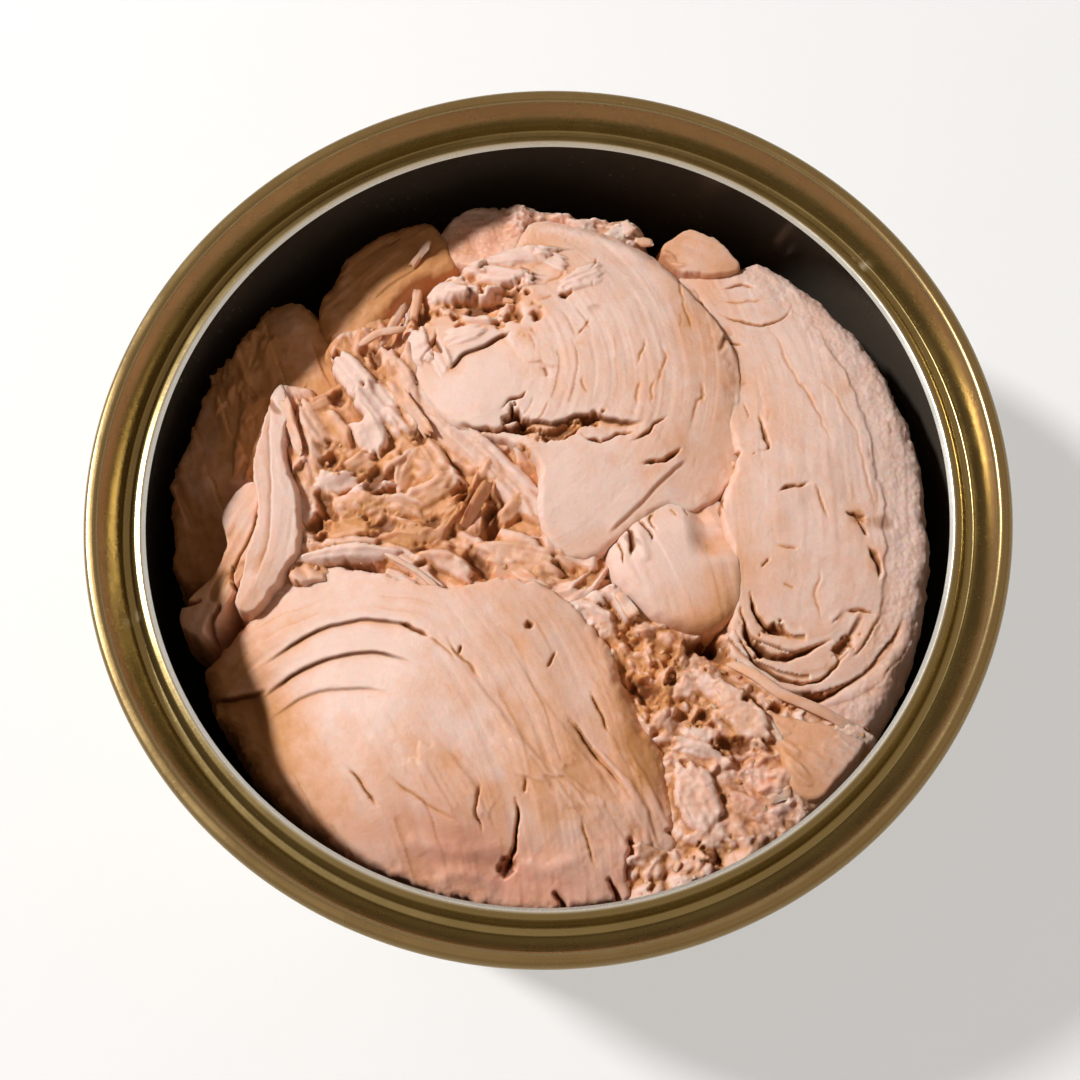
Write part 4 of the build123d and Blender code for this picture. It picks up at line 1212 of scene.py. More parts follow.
def chunk_right(material):
    """The slab along the wall: its layers run down it and curl round at its lower end."""
    r = Relief("chunk_right", edge=0.9, ragged=0.6, seed=41, grow=0.45)
    x, y = r.x, r.y
    out = np.hypot(x, y)
    r.edge = 0.5 + 1.3 * smooth(34, 37, out)
    r.steep = 5.0 - 1.5 * smooth(34, 37, out)
    spine = curve_through([(22.5, 30), (24.3, 22), (25.3, 14), (25.4, 6), (24.8, -2), (24.2, -9.5)])
    away, side, along = nearest(x, y, spine)
    nest = away + 0.25 * fractal(x / 5, y / 5, 43, 2)
    low = smooth(-4, -9, y)
    r.swell((24, 3), 8, 0.35)
    r.swell((35.5, 0), 4, -0.5)
    r.rough(0.14, 6.0)
    r.rough(0.05, 1.5, seed=4)
    r.fibres(nest * side, along * 40, rise=0.06, pitch=0.55, weight=1 - 0.4 * low)
    r.layers(nest, along * 40 + 9 * side, pitch=2.7, drop=0.1, cut=0.02, share=0.25,
             weight=smooth(4.5, 6.5, away))
    off_spine = (1 - low) * smooth(1.2, 2.6, away)
    r.splits(nest * side, along * 40, pitch=2.6, run=7, width=0.05, depth=0.3, share=0.22, weight=off_spine)
    r.splits(nest * side, along * 40, pitch=1.2, run=5, width=0.03, depth=0.15, share=0.25, seed=40,
             weight=off_spine)
    curl = smooth(-10.5, -13, y + 0.25 * abs(x - 23)) * smooth(3.6, 4.6, away) * smooth(13, 10.5, away)
    r.layers(nest, np.arctan2(x - 24.2, y + 9.5) * 7, pitch=1.75, drop=0.5, cut=0.25, share=0.62, seed=6,
             weight=curl)
    right_cracks(r)
    joined = smooth(22, 19, x) * smooth(2, 6, y)
    r.s = r.s + 0.6 * joined
    r.hollow((19.6, 4.4), 0.4, 1.6, stretch=1.6, turn=0, painted_shade=1.0, warm=0.3)
    r.crack([(19.6, 4.4), (19.0, 2.6), (17.9, 0.6), (17.6, -1.2)], width=0.13, depth=0.7, jag=0.5)
    r.crack([(18.6, 9.0), (18.8, 6.6), (19.5, 4.6)], width=0.16, depth=0.8, jag=0.4)
    r.hollow((30.8, -3.2), 0.24, 0.8, stretch=2.6, turn=-50, painted_shade=0.8, warm=0.5)
    r.crack([(29.7, -2.5), (30.8, -3.2), (32.0, -3.1)], width=0.16, depth=0.6, jag=0.4)
    r.crack([(30.8, -3.2), (31.2, -5.2)], width=0.14, depth=0.6, jag=0.4)
    outer = smooth(32.8, 35.5, out)
    r.grains(0.09, 0.42, outer)
    r.rough(0.12, 1.3, outer, seed=8)
    r.warm -= 0.1
    r.tint((23.5, -3), 5.5, warm=-0.04, stretch=1.4, turn=85)
    r.tint((20, 12), 3.0, warm=0.3, stretch=2.6, turn=85)
    r.tint((25, 12), 4, warm=0.05, stretch=2, turn=85)
    r.tint((34.5, 2), 2.6, warm=-0.2, stretch=5, turn=88)
    # painted shade in the small hollow and the crack below it
    r.tint((30.7, -3.3), 0.9, warm=0.5, painted_shade=0.4)
    r.tint((31.8, -8), 0.8, warm=0.4, painted_shade=0.2, stretch=2, turn=80)
    r.tint((19.3, 24.6), 2, warm=0.35, stretch=1.5, turn=-60)
    r.tint((24, -18), 4, warm=0.22, stretch=1.6)
    r.tint((18.5, -9), 2.4, warm=0.3, stretch=2.4, turn=-85)
    return r.build("fish_chunk_right", material)


def chunk_corner(material):
    """The small ear-shaped flake at the upper right."""
    wedge = ((15.2, 30.0), (17.0, 31.4), (18.7, 31.6), (21.2, 29.9), (22.8, 27.1), (19.5, 26.6), (16.3, 27.7))
    r = Relief("chunk_corner", edge=0.22, ragged=0.5, seed=51, grow=0.2, outline=wedge)
    r.z += 0.09 * (r.x - 17)
    r.rough(0.1, 2.5)
    r.fibres(0.5 * r.x + 0.87 * r.y, 0.87 * r.x - 0.5 * r.y, rise=0.05)
    r.shards(8, lambda u, v: -30, (1.2, 3.0), (0.0, 0.2), 521, warm=(0.5, 0.9), spread=40, follow=True,
             where=(r.x < 16.5) & (r.y < 30))
    r.z -= 0.45
    r.warm += 0.25
    # painted shade in the gap at the flake's upper left, with a wet patch
    r.tint((14.6, 28.6), 1.6, warm=0.5, wet=0.5, painted_shade=0.35)
    return r.build("fish_chunk_corner", material)


def chunk_back_left(material):
    """The rounded chunk at the upper left."""
    r = Relief("chunk_back_left", edge=1.2, ragged=0.6, seed=53)
    across, along = 0.6 * r.x - 0.8 * r.y, 0.8 * r.x + 0.6 * r.y
    r.rough(0.3, 4.0)
    r.fibres(across, along, rise=0.09, pitch=0.7)
    r.layers(across, along, pitch=2.4, drop=0.25, cut=0.08, seed=5)
    r.splits(across, along, pitch=1.4, run=5, width=0.05, depth=0.3, seed=3)
    # warm tan all over: partly the meat's own tone, partly painted shade, as most of this piece lies in the
    # rim's shadow
    r.warm += 0.75
    return r.build("fish_chunk_back_left", material)


def strip_back(material):
    """The strip of small torn bits behind the upper chunk."""
    r = Relief("strip_back", edge=0.7, ragged=0.8, seed=57, grow=0.5)
    r.rough(0.3, 2.6)
    r.fibres(r.y, r.x, rise=0.08, pitch=0.5)
    r.grains(0.1, 0.5)
    r.shards(90, lambda u, v: -14, (1.2, 4.2), (0.02, 0.3), 571, warm=(0.1, 0.6), spread=25, follow=True,
             torn=0.6, where=r.x > -1)
    r.tint((-4, 33), 3, warm=0.35, wet=0.55, stretch=1.5)
    return r.build("fish_strip_back", material)


def chunk_left(material):
    """The chunk along the left wall."""
    r = Relief("chunk_left", edge=1.0, ragged=1.4, seed=61, grow=1.4)
    r.rough(0.7, 6.0)
    r.fibres(r.x + 0.2 * r.y, r.y, rise=0.05, pitch=0.7)
    r.layers(r.x + 0.35 * r.y, r.y, pitch=4.0, drop=0.5, cut=0.1, share=0.5)
    # warm tan all over: partly the meat's own tone, partly painted shade, as this piece lies in the rim's
    # shadow
    r.shards(5, lambda u, v: 78, (7.0, 13.0), (0.15, 0.5), 611, warm=(0.8, 1.1), spread=6, follow=True,
             torn=0.45, streak=0.04, crumple=0.3)
    r.warm += 0.58
    return r.build("fish_chunk_left", material)


def slice_inner(material):
    """The larger of the two pale curved slices on the left."""
    inner = (
        (-26.8, 16.5), (-26.3, 12.9), (-26.8, 8.4), (-25.6, 3.8), (-25.4, -0.6), (-26.7, -3.7), (-29.8, -7.4),
        (-31.3, -6.5), (-30.3, -3.4), (-29.0, 1.3), (-28.7, 4.1), (-29.2, 7.5), (-28.1, 12.5), (-27.6, 15.4),
    )
    r = Relief("slice_inner", edge=0.16, ragged=0.45, steep=5.0, seed=67, grow=0.3, outline=inner)
    bow = np.hypot(r.x + 47, r.y - 4)
    r.z += 0.5 + 0.1 * smooth(0, 2.0, r.s)
    r.rough(0.14, 3.0)
    r.fibres(bow, r.y, rise=0.07, pitch=0.6, run=9)
    r.warm += 0.22 * noise(bow / 0.9, r.y / 8, 68)
    r.step([(-27.9, 15.0), (-28.0, 10.0), (-27.8, 4.0), (-28.2, -1.0), (-29.8, -5.6)], drop=0.3, fade=1.4,
           foot=0.06)
    r.splits(bow, r.y, pitch=1.3, run=8, width=0.05, depth=0.2, share=0.3)
    r.tint((-26, 7), 4.5, warm=-0.1, stretch=2.5, turn=90)
    r.tint((-28.5, -3), 2.5, warm=0.2, stretch=2.5, turn=65)
    return r.build("fish_slice_inner", material)


def slice_outer(material):
    """The smaller of the two pale curved slices, against the wall."""
    outer = (
        (-30.5, 5.9), (-28.9, 4.4), (-28.9, 0.0), (-30.5, -3.2), (-32.6, -6.2), (-35.1, -9.2), (-36.9, -8.5),
        (-36.7, -6.7), (-34.1, -4.5), (-32.1, -0.9), (-32.6, 2.5),
    )
    r = Relief("slice_outer", edge=0.16, ragged=0.4, steep=5.0, seed=71, grow=0.4, outline=outer)
    r.rough(0.1, 2.6)
    across, along = 0.87 * r.x - 0.5 * r.y, 0.5 * r.x + 0.87 * r.y
    r.fibres(across, along, rise=0.1, pitch=0.6, run=8)
    r.splits(across, along, pitch=1.4, run=7, width=0.035, depth=0.18, share=0.3)
    r.crack([(-29.2, 4.6), (-29.6, 1.2), (-31.2, -2.4), (-32.6, -5.0)], width=0.14, depth=0.5)
    r.notch([(-34.8, -11.0), (-34.4, -8.8), (-33.4, -6.8)], 0.6)
    r.notch([(-38.8, -5.4), (-36.8, -6.4), (-35.2, -6.2)], 0.6)
    r.notch([(-31.0, -6.0), (-31.8, -4.6), (-31.9, -3.0)], 0.3)
    r.tint((-30, 1), 4, warm=0.1, stretch=2, turn=70)
    # painted shade: the slice's lower end, which lies in the rim's shadow, turns warm brown
    r.tint((-33, -5), 3, warm=0.4, stretch=2, turn=60)
    return r.build("fish_slice_outer", material)


def flap_right(material):
    """The flat slab piece at the lower right."""
    r = Relief("flap_right", edge=0.5, ragged=0.3, seed=73, grow=0.4)
    across, along = 0.7 * r.x + 0.7 * r.y, 0.7 * r.x - 0.7 * r.y
    r.rough(0.1, 3.0)
    r.fibres(across, along, rise=0.07, pitch=0.5)
    r.shards(9, lambda u, v: -40, (3.0, 6.5), (0.05, 0.14), 731, spread=8, follow=True, torn=0.2)
    r.warm += 0.25
    r.tint((22, -23), 4, warm=0.3)
    r.tint((28, -26), 3.5, warm=-0.3)
    return r.build("fish_flap_right", material)


def flow_through(anchors):
    """Direction of the fibres, in degrees, blended from (x, y, angle) anchors."""
    places = np.array(anchors, float)
    twice = np.radians(2 * places[:, 2])

    def flow(x, y):
        weight = 1 / ((places[:, 0] - x) ** 2 + (places[:, 1] - y) ** 2 + 3)
        return math.degrees(0.5 * math.atan2((weight * np.sin(twice)).sum(), (weight * np.cos(twice)).sum()))

    return flow


def centre_shreds(r, level):
    """Torn sheets laid in place over the shredded heap's strewn ones."""
    # x, y, lift, length, width, turn, tilt along, tilt across, bend, warm
    for i, (x, y, lift, length, width, turn, up, over, bend, warm) in enumerate((
        (-25.0, 10.0, -0.7, 9.5, 2.6, -76, 0.0, 0.5, 0.00, 0.30),
        (-23.0, 12.4, -0.5, 6.2, 2.4, -62, 0.2, -0.6, 0.00, 0.42),
        (-21.3, 11.0, -0.7, 5.4, 1.9, -58, 0.0, 0.6, 0.02, 0.55),
        (-24.9, 3.2, -0.9, 8.0, 3.0, -84, 0.1, 0.3, 0.00, 0.35),
        (-24.4, -2.6, -0.9, 5.4, 3.0, -74, -0.3, 0.2, 0.00, 0.32),
        (-19.0, 6.6, -0.6, 4.4, 2.2, 32, 0.3, 0.5, 0.03, 0.55),
        (-16.4, 6.8, -0.5, 6.4, 1.5, 38, 0.4, -0.5, 0.04, 0.45),
        (-21.6, 5.2, -0.2, 3.8, 1.8, -12, -0.2, 0.4, -0.05, 0.12),
        (-18.6, 4.2, -0.1, 5.0, 1.3, 28, 0.4, 0.2, 0.06, 0.10),
        (-15.2, 16.8, -0.5, 6.6, 3.0, -60, 0.2, 0.5, 0.00, 0.32),
        (-13.4, 14.2, -0.4, 6.0, 2.0, -64, 0.1, -0.4, 0.02, 0.42),
        (-13.6, 11.0, -0.3, 5.2, 1.5, -70, 0.3, 0.4, 0.02, 0.22),
        (-12.2, 7.6, -0.3, 6.2, 3.0, -58, 0.1, 0.2, 0.02, 0.50),
        (-14.2, 6.0, -0.4, 4.8, 1.7, 66, 0.3, 0.3, 0.05, 0.46),
        (-10.6, 5.0, -0.1, 4.4, 2.6, -40, 0.0, 0.3, 0.00, 0.40),
        (-19.6, 2.2, -0.5, 6.0, 2.8, 10, 0.2, 0.5, -0.03, 0.52),
        (-19.2, 0.4, -0.6, 5.4, 1.6, 4, 0.1, -0.4, 0.02, 0.60),
        (-15.4, 2.4, -0.3, 5.2, 2.0, -8, 0.1, 0.4, 0.04, 0.48),
        (-12.0, 3.0, -0.1, 6.0, 2.2, 18, 0.2, 0.4, -0.03, 0.56),
        (-14.4, -0.8, -0.4, 3.6, 2.4, -12, 0.0, 0.3, 0.00, 0.70),
        (-12.2, -1.2, -0.6, 3.0, 1.6, 30, 0.0, 0.3, 0.00, 0.62),
        (-10.0, 0.6, -0.4, 5.6, 1.4, 56, 0.5, 0.3, 0.03, 0.58),
        (-7.6, 1.6, 0.0, 6.2, 1.3, 60, 0.6, 0.6, -0.03, 0.72),
        (-5.9, 4.6, -0.2, 4.2, 1.2, 62, 0.2, 0.4, 0.02, 0.60),
        (-20.2, -1.4, -0.2, 7.4, 1.1, -3, 0.1, 0.3, 0.00, 0.30),
        (-20.3, -2.5, 0.1, 7.6, 1.3, -1, 0.2, 0.3, 0.01, 0.16),
        (-14.2, -3.4, -0.2, 6.0, 1.1, -34, 0.2, 0.2, 0.02, 0.28),
        (-13.4, -4.8, -0.1, 6.4, 1.2, -40, 0.2, 0.2, 0.02, 0.26),
        (-15.0, -5.6, -0.3, 5.4, 1.1, -30, 0.1, 0.2, 0.02, 0.30),
        (-11.4, -3.6, -0.1, 4.2, 1.1, -12, 0.2, 0.2, 0.00, 0.34),
        (-9.6, -4.6, 0.0, 4.4, 1.6, -34, 0.1, 0.3, 0.00, 0.28),
        (-3.4, -4.8, -0.4, 6.6, 3.4, -16, 0.0, 0.3, 0.00, 0.42),
        (-2.8, -2.6, -0.4, 4.6, 1.4, -24, 0.1, 0.3, 0.00, 0.36),
        (-1.8, -6.6, -0.5, 4.4, 1.6, -30, 0.0, 0.2, 0.00, 0.40),
        (-4.2, 0.4, -0.6, 4.4, 1.5, 34, 0.3, 0.4, 0.00, 0.62),
        (-19.2, 17.0, 0.1, 5.4, 2.4, -56, 0.2, 0.3, 0.00, 0.08),
        (-16.8, 13.6, 0.3, 5.6, 3.0, -58, 0.1, -0.3, 0.00, 0.04),
        (-17.6, 10.2, 0.1, 4.4, 2.6, -70, -0.2, 0.3, 0.03, 0.10),
        (-15.2, 11.4, 0.0, 4.0, 1.8, -52, 0.1, 0.4, 0.00, 0.22),
    )):
        r.shard((x, y), length, 1.25 * width, turn, level + lift, (up, 1.3 * over), 0.1, 1.6 * bend,
                seed=830 + 5 * i, warm=warm + (0.2 if warm > 0.2 else 0.0), torn=0.5, streak=0.15,
                crumple=0.4)


def centre_bundles(r, level):
    """Long bundles of fibres that cross the shredded heap."""
    # x, y, lift, length, width, turn, warm
    for i, (x, y, lift, length, width, turn, warm) in enumerate((
        (-8.2, 8.9, -0.2, 11.5, 3.4, -46, 0.36), (-4.2, 4.6, -0.3, 9.5, 3.2, -50, 0.40),
        (-10.9, 12.6, -0.3, 7.0, 2.2, -55, 0.42), (-7.9, 8.2, -0.1, 10.5, 2.0, -48, 0.42),
        (-6.4, 8.5, -0.1, 9.5, 1.8, -44, 0.28), (-3.4, 5.0, -0.2, 8.0, 1.8, -47, 0.34),
        (-4.9, 4.2, -0.2, 8.0, 1.7, -52, 0.44), (-2.4, 2.6, -0.4, 6.5, 1.6, -54, 0.40),
    )):
        r.shard((x, y), length, width, turn, level + lift, (0.0, 0.2), 0.25, 0.008, seed=920 + 5 * i,
                warm=warm, torn=0.3, streak=0.2)


def centre_gaps(r):
    """Gaps between the shredded heap's sheets, painted dark as shade."""
    for spot, radius, depth, stretch, turn in (
        ((-21.4, 7.8), 0.75, 1.2, 1.2, 80), ((-17.1, 5.4), 0.75, 1.3, 1.9, 60),
        ((-22.6, 3.4), 0.7, 1.2, 1.8, -70), ((-23.4, 1.2), 0.55, 1.2, 1.6, 60),
        ((-8.1, 2.4), 0.6, 1.4, 1.1, 0), ((-5.7, -0.4), 0.75, 1.6, 2.2, 85),
        ((-7.2, -4.4), 0.8, 1.6, 2.2, -70), ((-18.8, -4.2), 0.75, 1.5, 3.0, -4),
        ((-12.6, -2.6), 0.45, 1.0, 1.6, -15), ((-12.7, -4.2), 0.35, 0.9, 1.5, 0),
        ((-1.0, -8.2), 0.7, 1.2, 1.5, -30), ((-22.6, -0.2), 0.5, 1.1, 1.4, 80),
        ((-11.4, 0.2), 0.55, 1.0, 2.0, 20), ((-16.4, 0.2), 0.6, 1.0, 2.2, -6),
        ((-16.6, 18.9), 0.6, 1.2, 2.0, -70), ((-9.0, 11.6), 0.45, 1.0, 3.2, -52),
        ((-12.2, 9.4), 0.5, 0.9, 1.6, -60), ((-20.9, 14.8), 0.55, 1.0, 1.5, -60),
    ):
        r.hollow(spot, radius, depth, stretch=stretch, turn=turn)


def core_centre(material):
    """The bed of the shredded heap: crumpled sheets and bundles of fibres with gaps between."""
    r = Relief("heap_centre", edge=0.6, ragged=0.3, steep=4.0, seed=81, grow=1.2, depth=11.0)
    level = fish_level
    r.z = np.full(r.x.shape, level - 2.3)
    r.top = np.full(r.x.shape, level)
    r.rough(0.9, 3.5)
    r.rough(0.5, 1.0, seed=5)
    r.warm += 0.5
    # painted shade all over the bed, which shows only in the gaps between the sheets
    r.painted_shade += 0.2
    flow = flow_through(((-24.5, 10, -80), (-25, 0, -78), (-19, 17, -58), (-12.5, 11, -60), (-7, 8, -47),
                         (-3, 2, -50), (-17, 8, 30), (-19, 2, 6), (-12, 3, 18), (-20, -3, 2), (-13, -5, -40),
                         (-4, -4, -25), (-7, 0, 60), (-8, 26, -8), (-13, 26, -70), (-13, 20, -75)))
    r.shards(170, flow, (3.0, 7.5), (-2.1 + level, -0.8 + level), 811, warm=(0.35, 0.95), torn=0.65,
             wet=0.45, spread=30, crumple=0.55, streak=0.16, wide=(0.4, 0.8))
    centre_shreds(r, level)
    centre_bundles(r, level)
    r.weld(0.5, 0.25)
    centre_gaps(r)
    r.weld(0.3, 0.2, painted_shade=0.9)
    r.rough(0.08, 0.8, seed=9)
    return r.build("fish_core_centre", material)


def right_lumps(r, level):
    """The crumbly heap's rounded lumps: strewn small ones, then the larger ones in place."""
    x, y = r.x, r.y
    rng = np.random.default_rng(29)
    places = np.flatnonzero(r.s > 0.4)
    for i, place in enumerate(rng.choice(places, 120)):
        size = 1.0 + 2.2 * rng.random() ** 2
        width = size * (0.6 + 0.4 * rng.random())
        turn = 180 * rng.random()
        height = level - 2.1 + 1.1 * rng.random()
        r.lump((x[place], y[place]), size, width, turn, height, 0.9, seed=1300 + 3 * i,
               warm=0.1 + 0.5 * rng.random(), coarse=0.5)
    # x, y, lift, length, width, turn, warm
    for i, (px, py, lift, length, width, turn, warm) in enumerate((
        (4.0, -6.4, -0.3, 5.4, 3.4, -50, 0.14), (6.2, -9.0, -0.4, 5.0, 2.8, -45, 0.18),
        (2.4, -9.4, -0.5, 4.6, 3.0, -60, 0.22), (4.8, -12.0, -0.6, 5.0, 3.0, -50, 0.34),
        (8.6, -12.6, -0.8, 3.4, 2.4, 10, 0.34), (10.9, -13.6, -0.9, 3.0, 2.0, -30, 0.3),
        (9.4, -22.4, -0.7, 3.6, 3.0, 60, 0.16), (10.4, -25.2, -0.9, 2.6, 2.2, 10, 0.2),
        (13.0, -23.6, -0.7, 4.8, 2.6, -24, 0.16), (12.2, -18.0, -0.8, 5.0, 3.4, 60, 0.4),
        (15.0, -18.6, -0.7, 4.6, 2.6, -40, 0.36), (18.6, -27.6, -1.2, 5.0, 4.2, -20, 0.32),
        (18.6, -31.2, -1.6, 5.0, 3.6, 10, 0.3), (15.0, -27.4, -1.2, 3.8, 3.0, 10, 0.28),
        (8.8, -35.2, -1.8, 4.6, 2.0, 15, 0.28),
    )):
        r.lump((px, py), length, width, turn, level + lift, 1.3, seed=1500 + 3 * i, warm=warm, coarse=0.55)


def right_plates(r, level):
    """The plates and strands that lie on the crumbly heap's lumps."""
    # x, y, lift, length, width, turn, tilt along, tilt across, warm
    for i, (px, py, lift, length, width, turn, up, over, warm) in enumerate((
        (5.4, -6.8, 0.0, 3.6, 1.6, -60, 0.1, 0.2, 0.08),
        (3.6, -8.4, -0.1, 4.0, 1.5, -40, 0.1, 0.2, 0.12),
        (6.9, -10.4, -0.2, 3.4, 1.3, -58, 0.0, 0.3, 0.12),
        (4.4, -10.6, -0.2, 3.2, 1.4, -30, 0.0, 0.2, 0.18),
        (16.9, -21.4, -0.1, 6.4, 3.6, -44, 0.1, 0.3, 0.46),
        (14.6, -19.0, -0.4, 4.4, 1.6, -52, 0.1, 0.3, 0.34),
        (12.2, -29.4, -0.4, 6.2, 3.8, -68, 0.0, 0.1, 0.26),
        (12.6, -32.6, -0.8, 4.0, 2.6, -20, 0.0, 0.2, 0.3),
        (12.4, -24.6, -0.3, 4.4, 1.6, -20, 0.1, 0.2, 0.18),
        (9.8, -21.4, -0.4, 2.6, 1.6, 50, 0.1, 0.2, 0.14),
        (11.6, -16.4, -0.5, 5.0, 1.3, 66, 0.3, 0.4, 0.48),
        (10.6, -18.2, -0.7, 4.4, 1.2, 70, 0.2, 0.4, 0.6),
        (6.0, -17.6, -1.3, 7.5, 1.6, -66, 0.0, 0.6, 0.75),
        (7.0, -21.4, -1.5, 6.5, 1.5, -70, 0.0, 0.6, 0.8),
        (20.6, -23.8, -0.5, 4.4, 1.6, -46, 0.1, 0.2, 0.42),
    )):
        r.shard((px, py), length, width, turn, level + lift, (up, over), 0.1, 0.0, seed=1600 + 5 * i,
                warm=warm + 0.1, torn=0.55, crumple=0.35, streak=0.12)


def right_gaps(r):
    """Gaps between the crumbly heap's lumps, painted dark as shade."""
    for spot, radius, depth, stretch, turn in (
        ((15.6, -15.2), 0.9, 2.4, 1.9, -38), ((8.6, -18.6), 0.8, 1.6, 2.0, -60),
        ((11.0, -17.4), 0.45, 1.2, 1.5, 60), ((16.2, -24.6), 0.55, 1.6, 2.8, -22),
        ((20.9, -21.4), 0.5, 1.5, 1.3, 0), ((17.8, -20.2), 0.35, 1.0, 1.2, 0),
        ((7.6, -25.6), 0.7, 1.4, 2.6, -75), ((8.6, -30.0), 0.7, 1.4, 2.8, -80),
        ((13.0, -34.6), 0.4, 1.0, 2.6, -40), ((7.4, -13.4), 0.7, 1.2, 1.6, -30),
        ((14.6, -29.4), 0.3, 0.8, 2.0, -70), ((13.6, -21.4), 0.5, 1.1, 1.6, 20),
    ):
        r.hollow(spot, radius, depth, stretch=stretch, turn=turn)


def core_right(material):
    """The bed of the crumbly heap: rounded lumps of fine grains, with a few plates and strands."""
    r = Relief("heap_right", edge=0.6, ragged=0.3, steep=4.0, seed=83, grow=0.8, depth=11.0)
    level = fish_level
    x, y = r.x, r.y
    r.z = np.full(x.shape, level - 2.0)
    r.top = np.full(x.shape, level)
    r.rough(1.1, 4.0)
    r.warm += 0.3
    # painted shade all over the bed, which shows only in the gaps between the lumps
    r.painted_shade += 0.15
    flow = flow_through(((4, -8, -55), (8, -12, -30), (7, -17, -62), (15, -17, -40), (20, -20, -38),
                         (11, -24, 40), (12, -30, -20), (18, -30, 10), (8, -35, 20)))
    r.shards(150, flow, (1.8, 4.6), (-2.1 + level, -1.0 + level), 851, warm=(0.3, 0.75), torn=0.65,
             spread=40, crumple=0.4, streak=0.12, wide=(0.45, 0.85))
    right_lumps(r, level)
    right_plates(r, level)
    r.weld(0.6, 0.25)
    right_gaps(r)
    fine = smooth(-14, -20, y) * smooth(0.2, 0.8, -(r.z - level))
    r.grains(0.15, 0.6, 0.55 + 0.45 * fine, seed=2)
    r.rough(0.14, 1.1, seed=9)
    r.shards(40, flow, (1.0, 2.4), (0.1, 0.3), 881, warm=(0.2, 0.7), torn=0.7, spread=50, follow=True,
             keep=0.5, wide=(0.5, 0.9))
    # painted shade: warm dark patches in the heap's hollows and gaps
    for spot, radius, stretch, turn in (
        ((8.6, -20.0), 1.3, 2.8, -68), ((15.4, -14.6), 0.9, 1.6, -10), ((16.3, -24.3), 0.7, 2.4, -25),
        ((10.0, -14.6), 1.6, 2.0, -6),
    ):
        r.tint(spot, radius, warm=0.5, painted_shade=0.35, stretch=stretch, turn=turn)
    r.hollow((6.6, -17.6), 1.0, 1.2, stretch=3.0, turn=-66, painted_shade=0.5, warm=0.5)
    r.tint((8, -16.5), 3.0, warm=0.32, painted_shade=0.12, stretch=1.8, turn=-60)
    r.hollow((14.8, -14.6), 1.0, 2.2, stretch=1.6, turn=-14, painted_shade=1.0, warm=0.3)
    r.tint((17, -29), 4.5, warm=-0.02, wet=0.3)
    r.shards(26, flow, (1.0, 2.8), (0.05, 0.35), 897, warm=(0.3, 0.8), torn=0.7, spread=60, follow=True,
             keep=0.4, wide=(0.5, 0.9), where=np.hypot(x - 7.6, 0.6 * (y + 17.6)) < 3.0)
    return r.build("fish_core_right", material)


def strand_shape(points, width, thick, seed, fine):
    """Points, faces and tone of a bundle of fibres along a line of (x, y, lift) points, in mm."""
    flat = curve_through([p[:2] for p in points], fine)
    lift = curve_through([(i, p[2]) for i, p in enumerate(points)], 0.05)
    lift = np.interp(np.linspace(0, 1, len(flat)), np.linspace(0, 1, len(lift)), lift[:, 1])
    along = np.linspace(0, 1, len(flat))
    heading = np.gradient(flat, axis=0)
    heading /= np.hypot(*heading.T)[:, None]
    sides = np.column_stack([-heading[:, 1], heading[:, 0]])
    count = max(10, int(2.2 * (width + thick) / fine))
    turn = np.linspace(0, 2 * math.pi, count, endpoint=False)
    t, a = np.meshgrid(along, turn, indexing="ij")
    taper = np.sqrt(np.clip(np.minimum(t, 1 - t) * 7, 0.01, 1))
    length = len(flat) * fine
    grooves = fractal(np.cos(a) * 1.9 + seed, t * length / 4 + np.sin(a), seed, 3)
    lumps = fractal(t * length / 1.5 + seed, np.cos(a) + 3, seed + 4, 3)
    wide = width / 2 * taper * (1 + 0.2 * lumps + 0.12 * grooves)
    tall = thick / 2 * taper * (1 + 0.3 * lumps + 0.3 * grooves)
    out = np.cos(a) * wide
    pts = np.stack([
        flat[:, 0][:, None] + out * sides[:, 0][:, None],
        flat[:, 1][:, None] + out * sides[:, 1][:, None],
        lift[:, None] + np.sin(a) * tall,
    ], axis=-1)
    grid = np.arange(pts.shape[0] * count).reshape(-1, count)
    after = np.roll(grid, -1, axis=1)
    faces = np.stack([grid[:-1], grid[1:], after[1:], after[:-1]], axis=-1).reshape(-1, 4)
    first, last = grid.size, grid.size + 1
    verts = np.vstack([pts.reshape(-1, 3), pts[0].mean(0), pts[-1].mean(0)])
    caps = [np.column_stack([grid[0], after[0], np.full(count, first)]),
            np.column_stack([after[-1], grid[-1], np.full(count, last)])]
    # painted shade: the strand's underside turns warmer and darker
    warm = 0.3 + 0.25 * grooves + 0.15 * lumps + 0.25 * (np.sin(a) < -0.2)
    tone = np.column_stack([warm.reshape(-1), 0.3 * (np.sin(a) < -0.5).reshape(-1), np.full(grid.size, 0.3)])
    tone = np.vstack([tone, tone[:1], tone[-1:]])
    return verts, faces[:, ::-1], [c[:, ::-1] for c in caps], tone


def add_strand(heap, points, level, width, thick, seed, warm):
    """Adds a bundle of fibres to a heap; its two ends are closed with triangles."""
    raised = [(x, y, level + lift) for x, y, lift in points]
    verts, faces, caps, tone = strand_shape(raised, width, thick, seed, 0.16 / flake_detail)
    ends = np.vstack(caps)
    heap.parts.append((verts, faces + heap.count, np.clip(tone + np.array([warm, 0, 0]), 0, 1)))
    heap.ends.append(ends + heap.count)
    heap.count += len(verts)


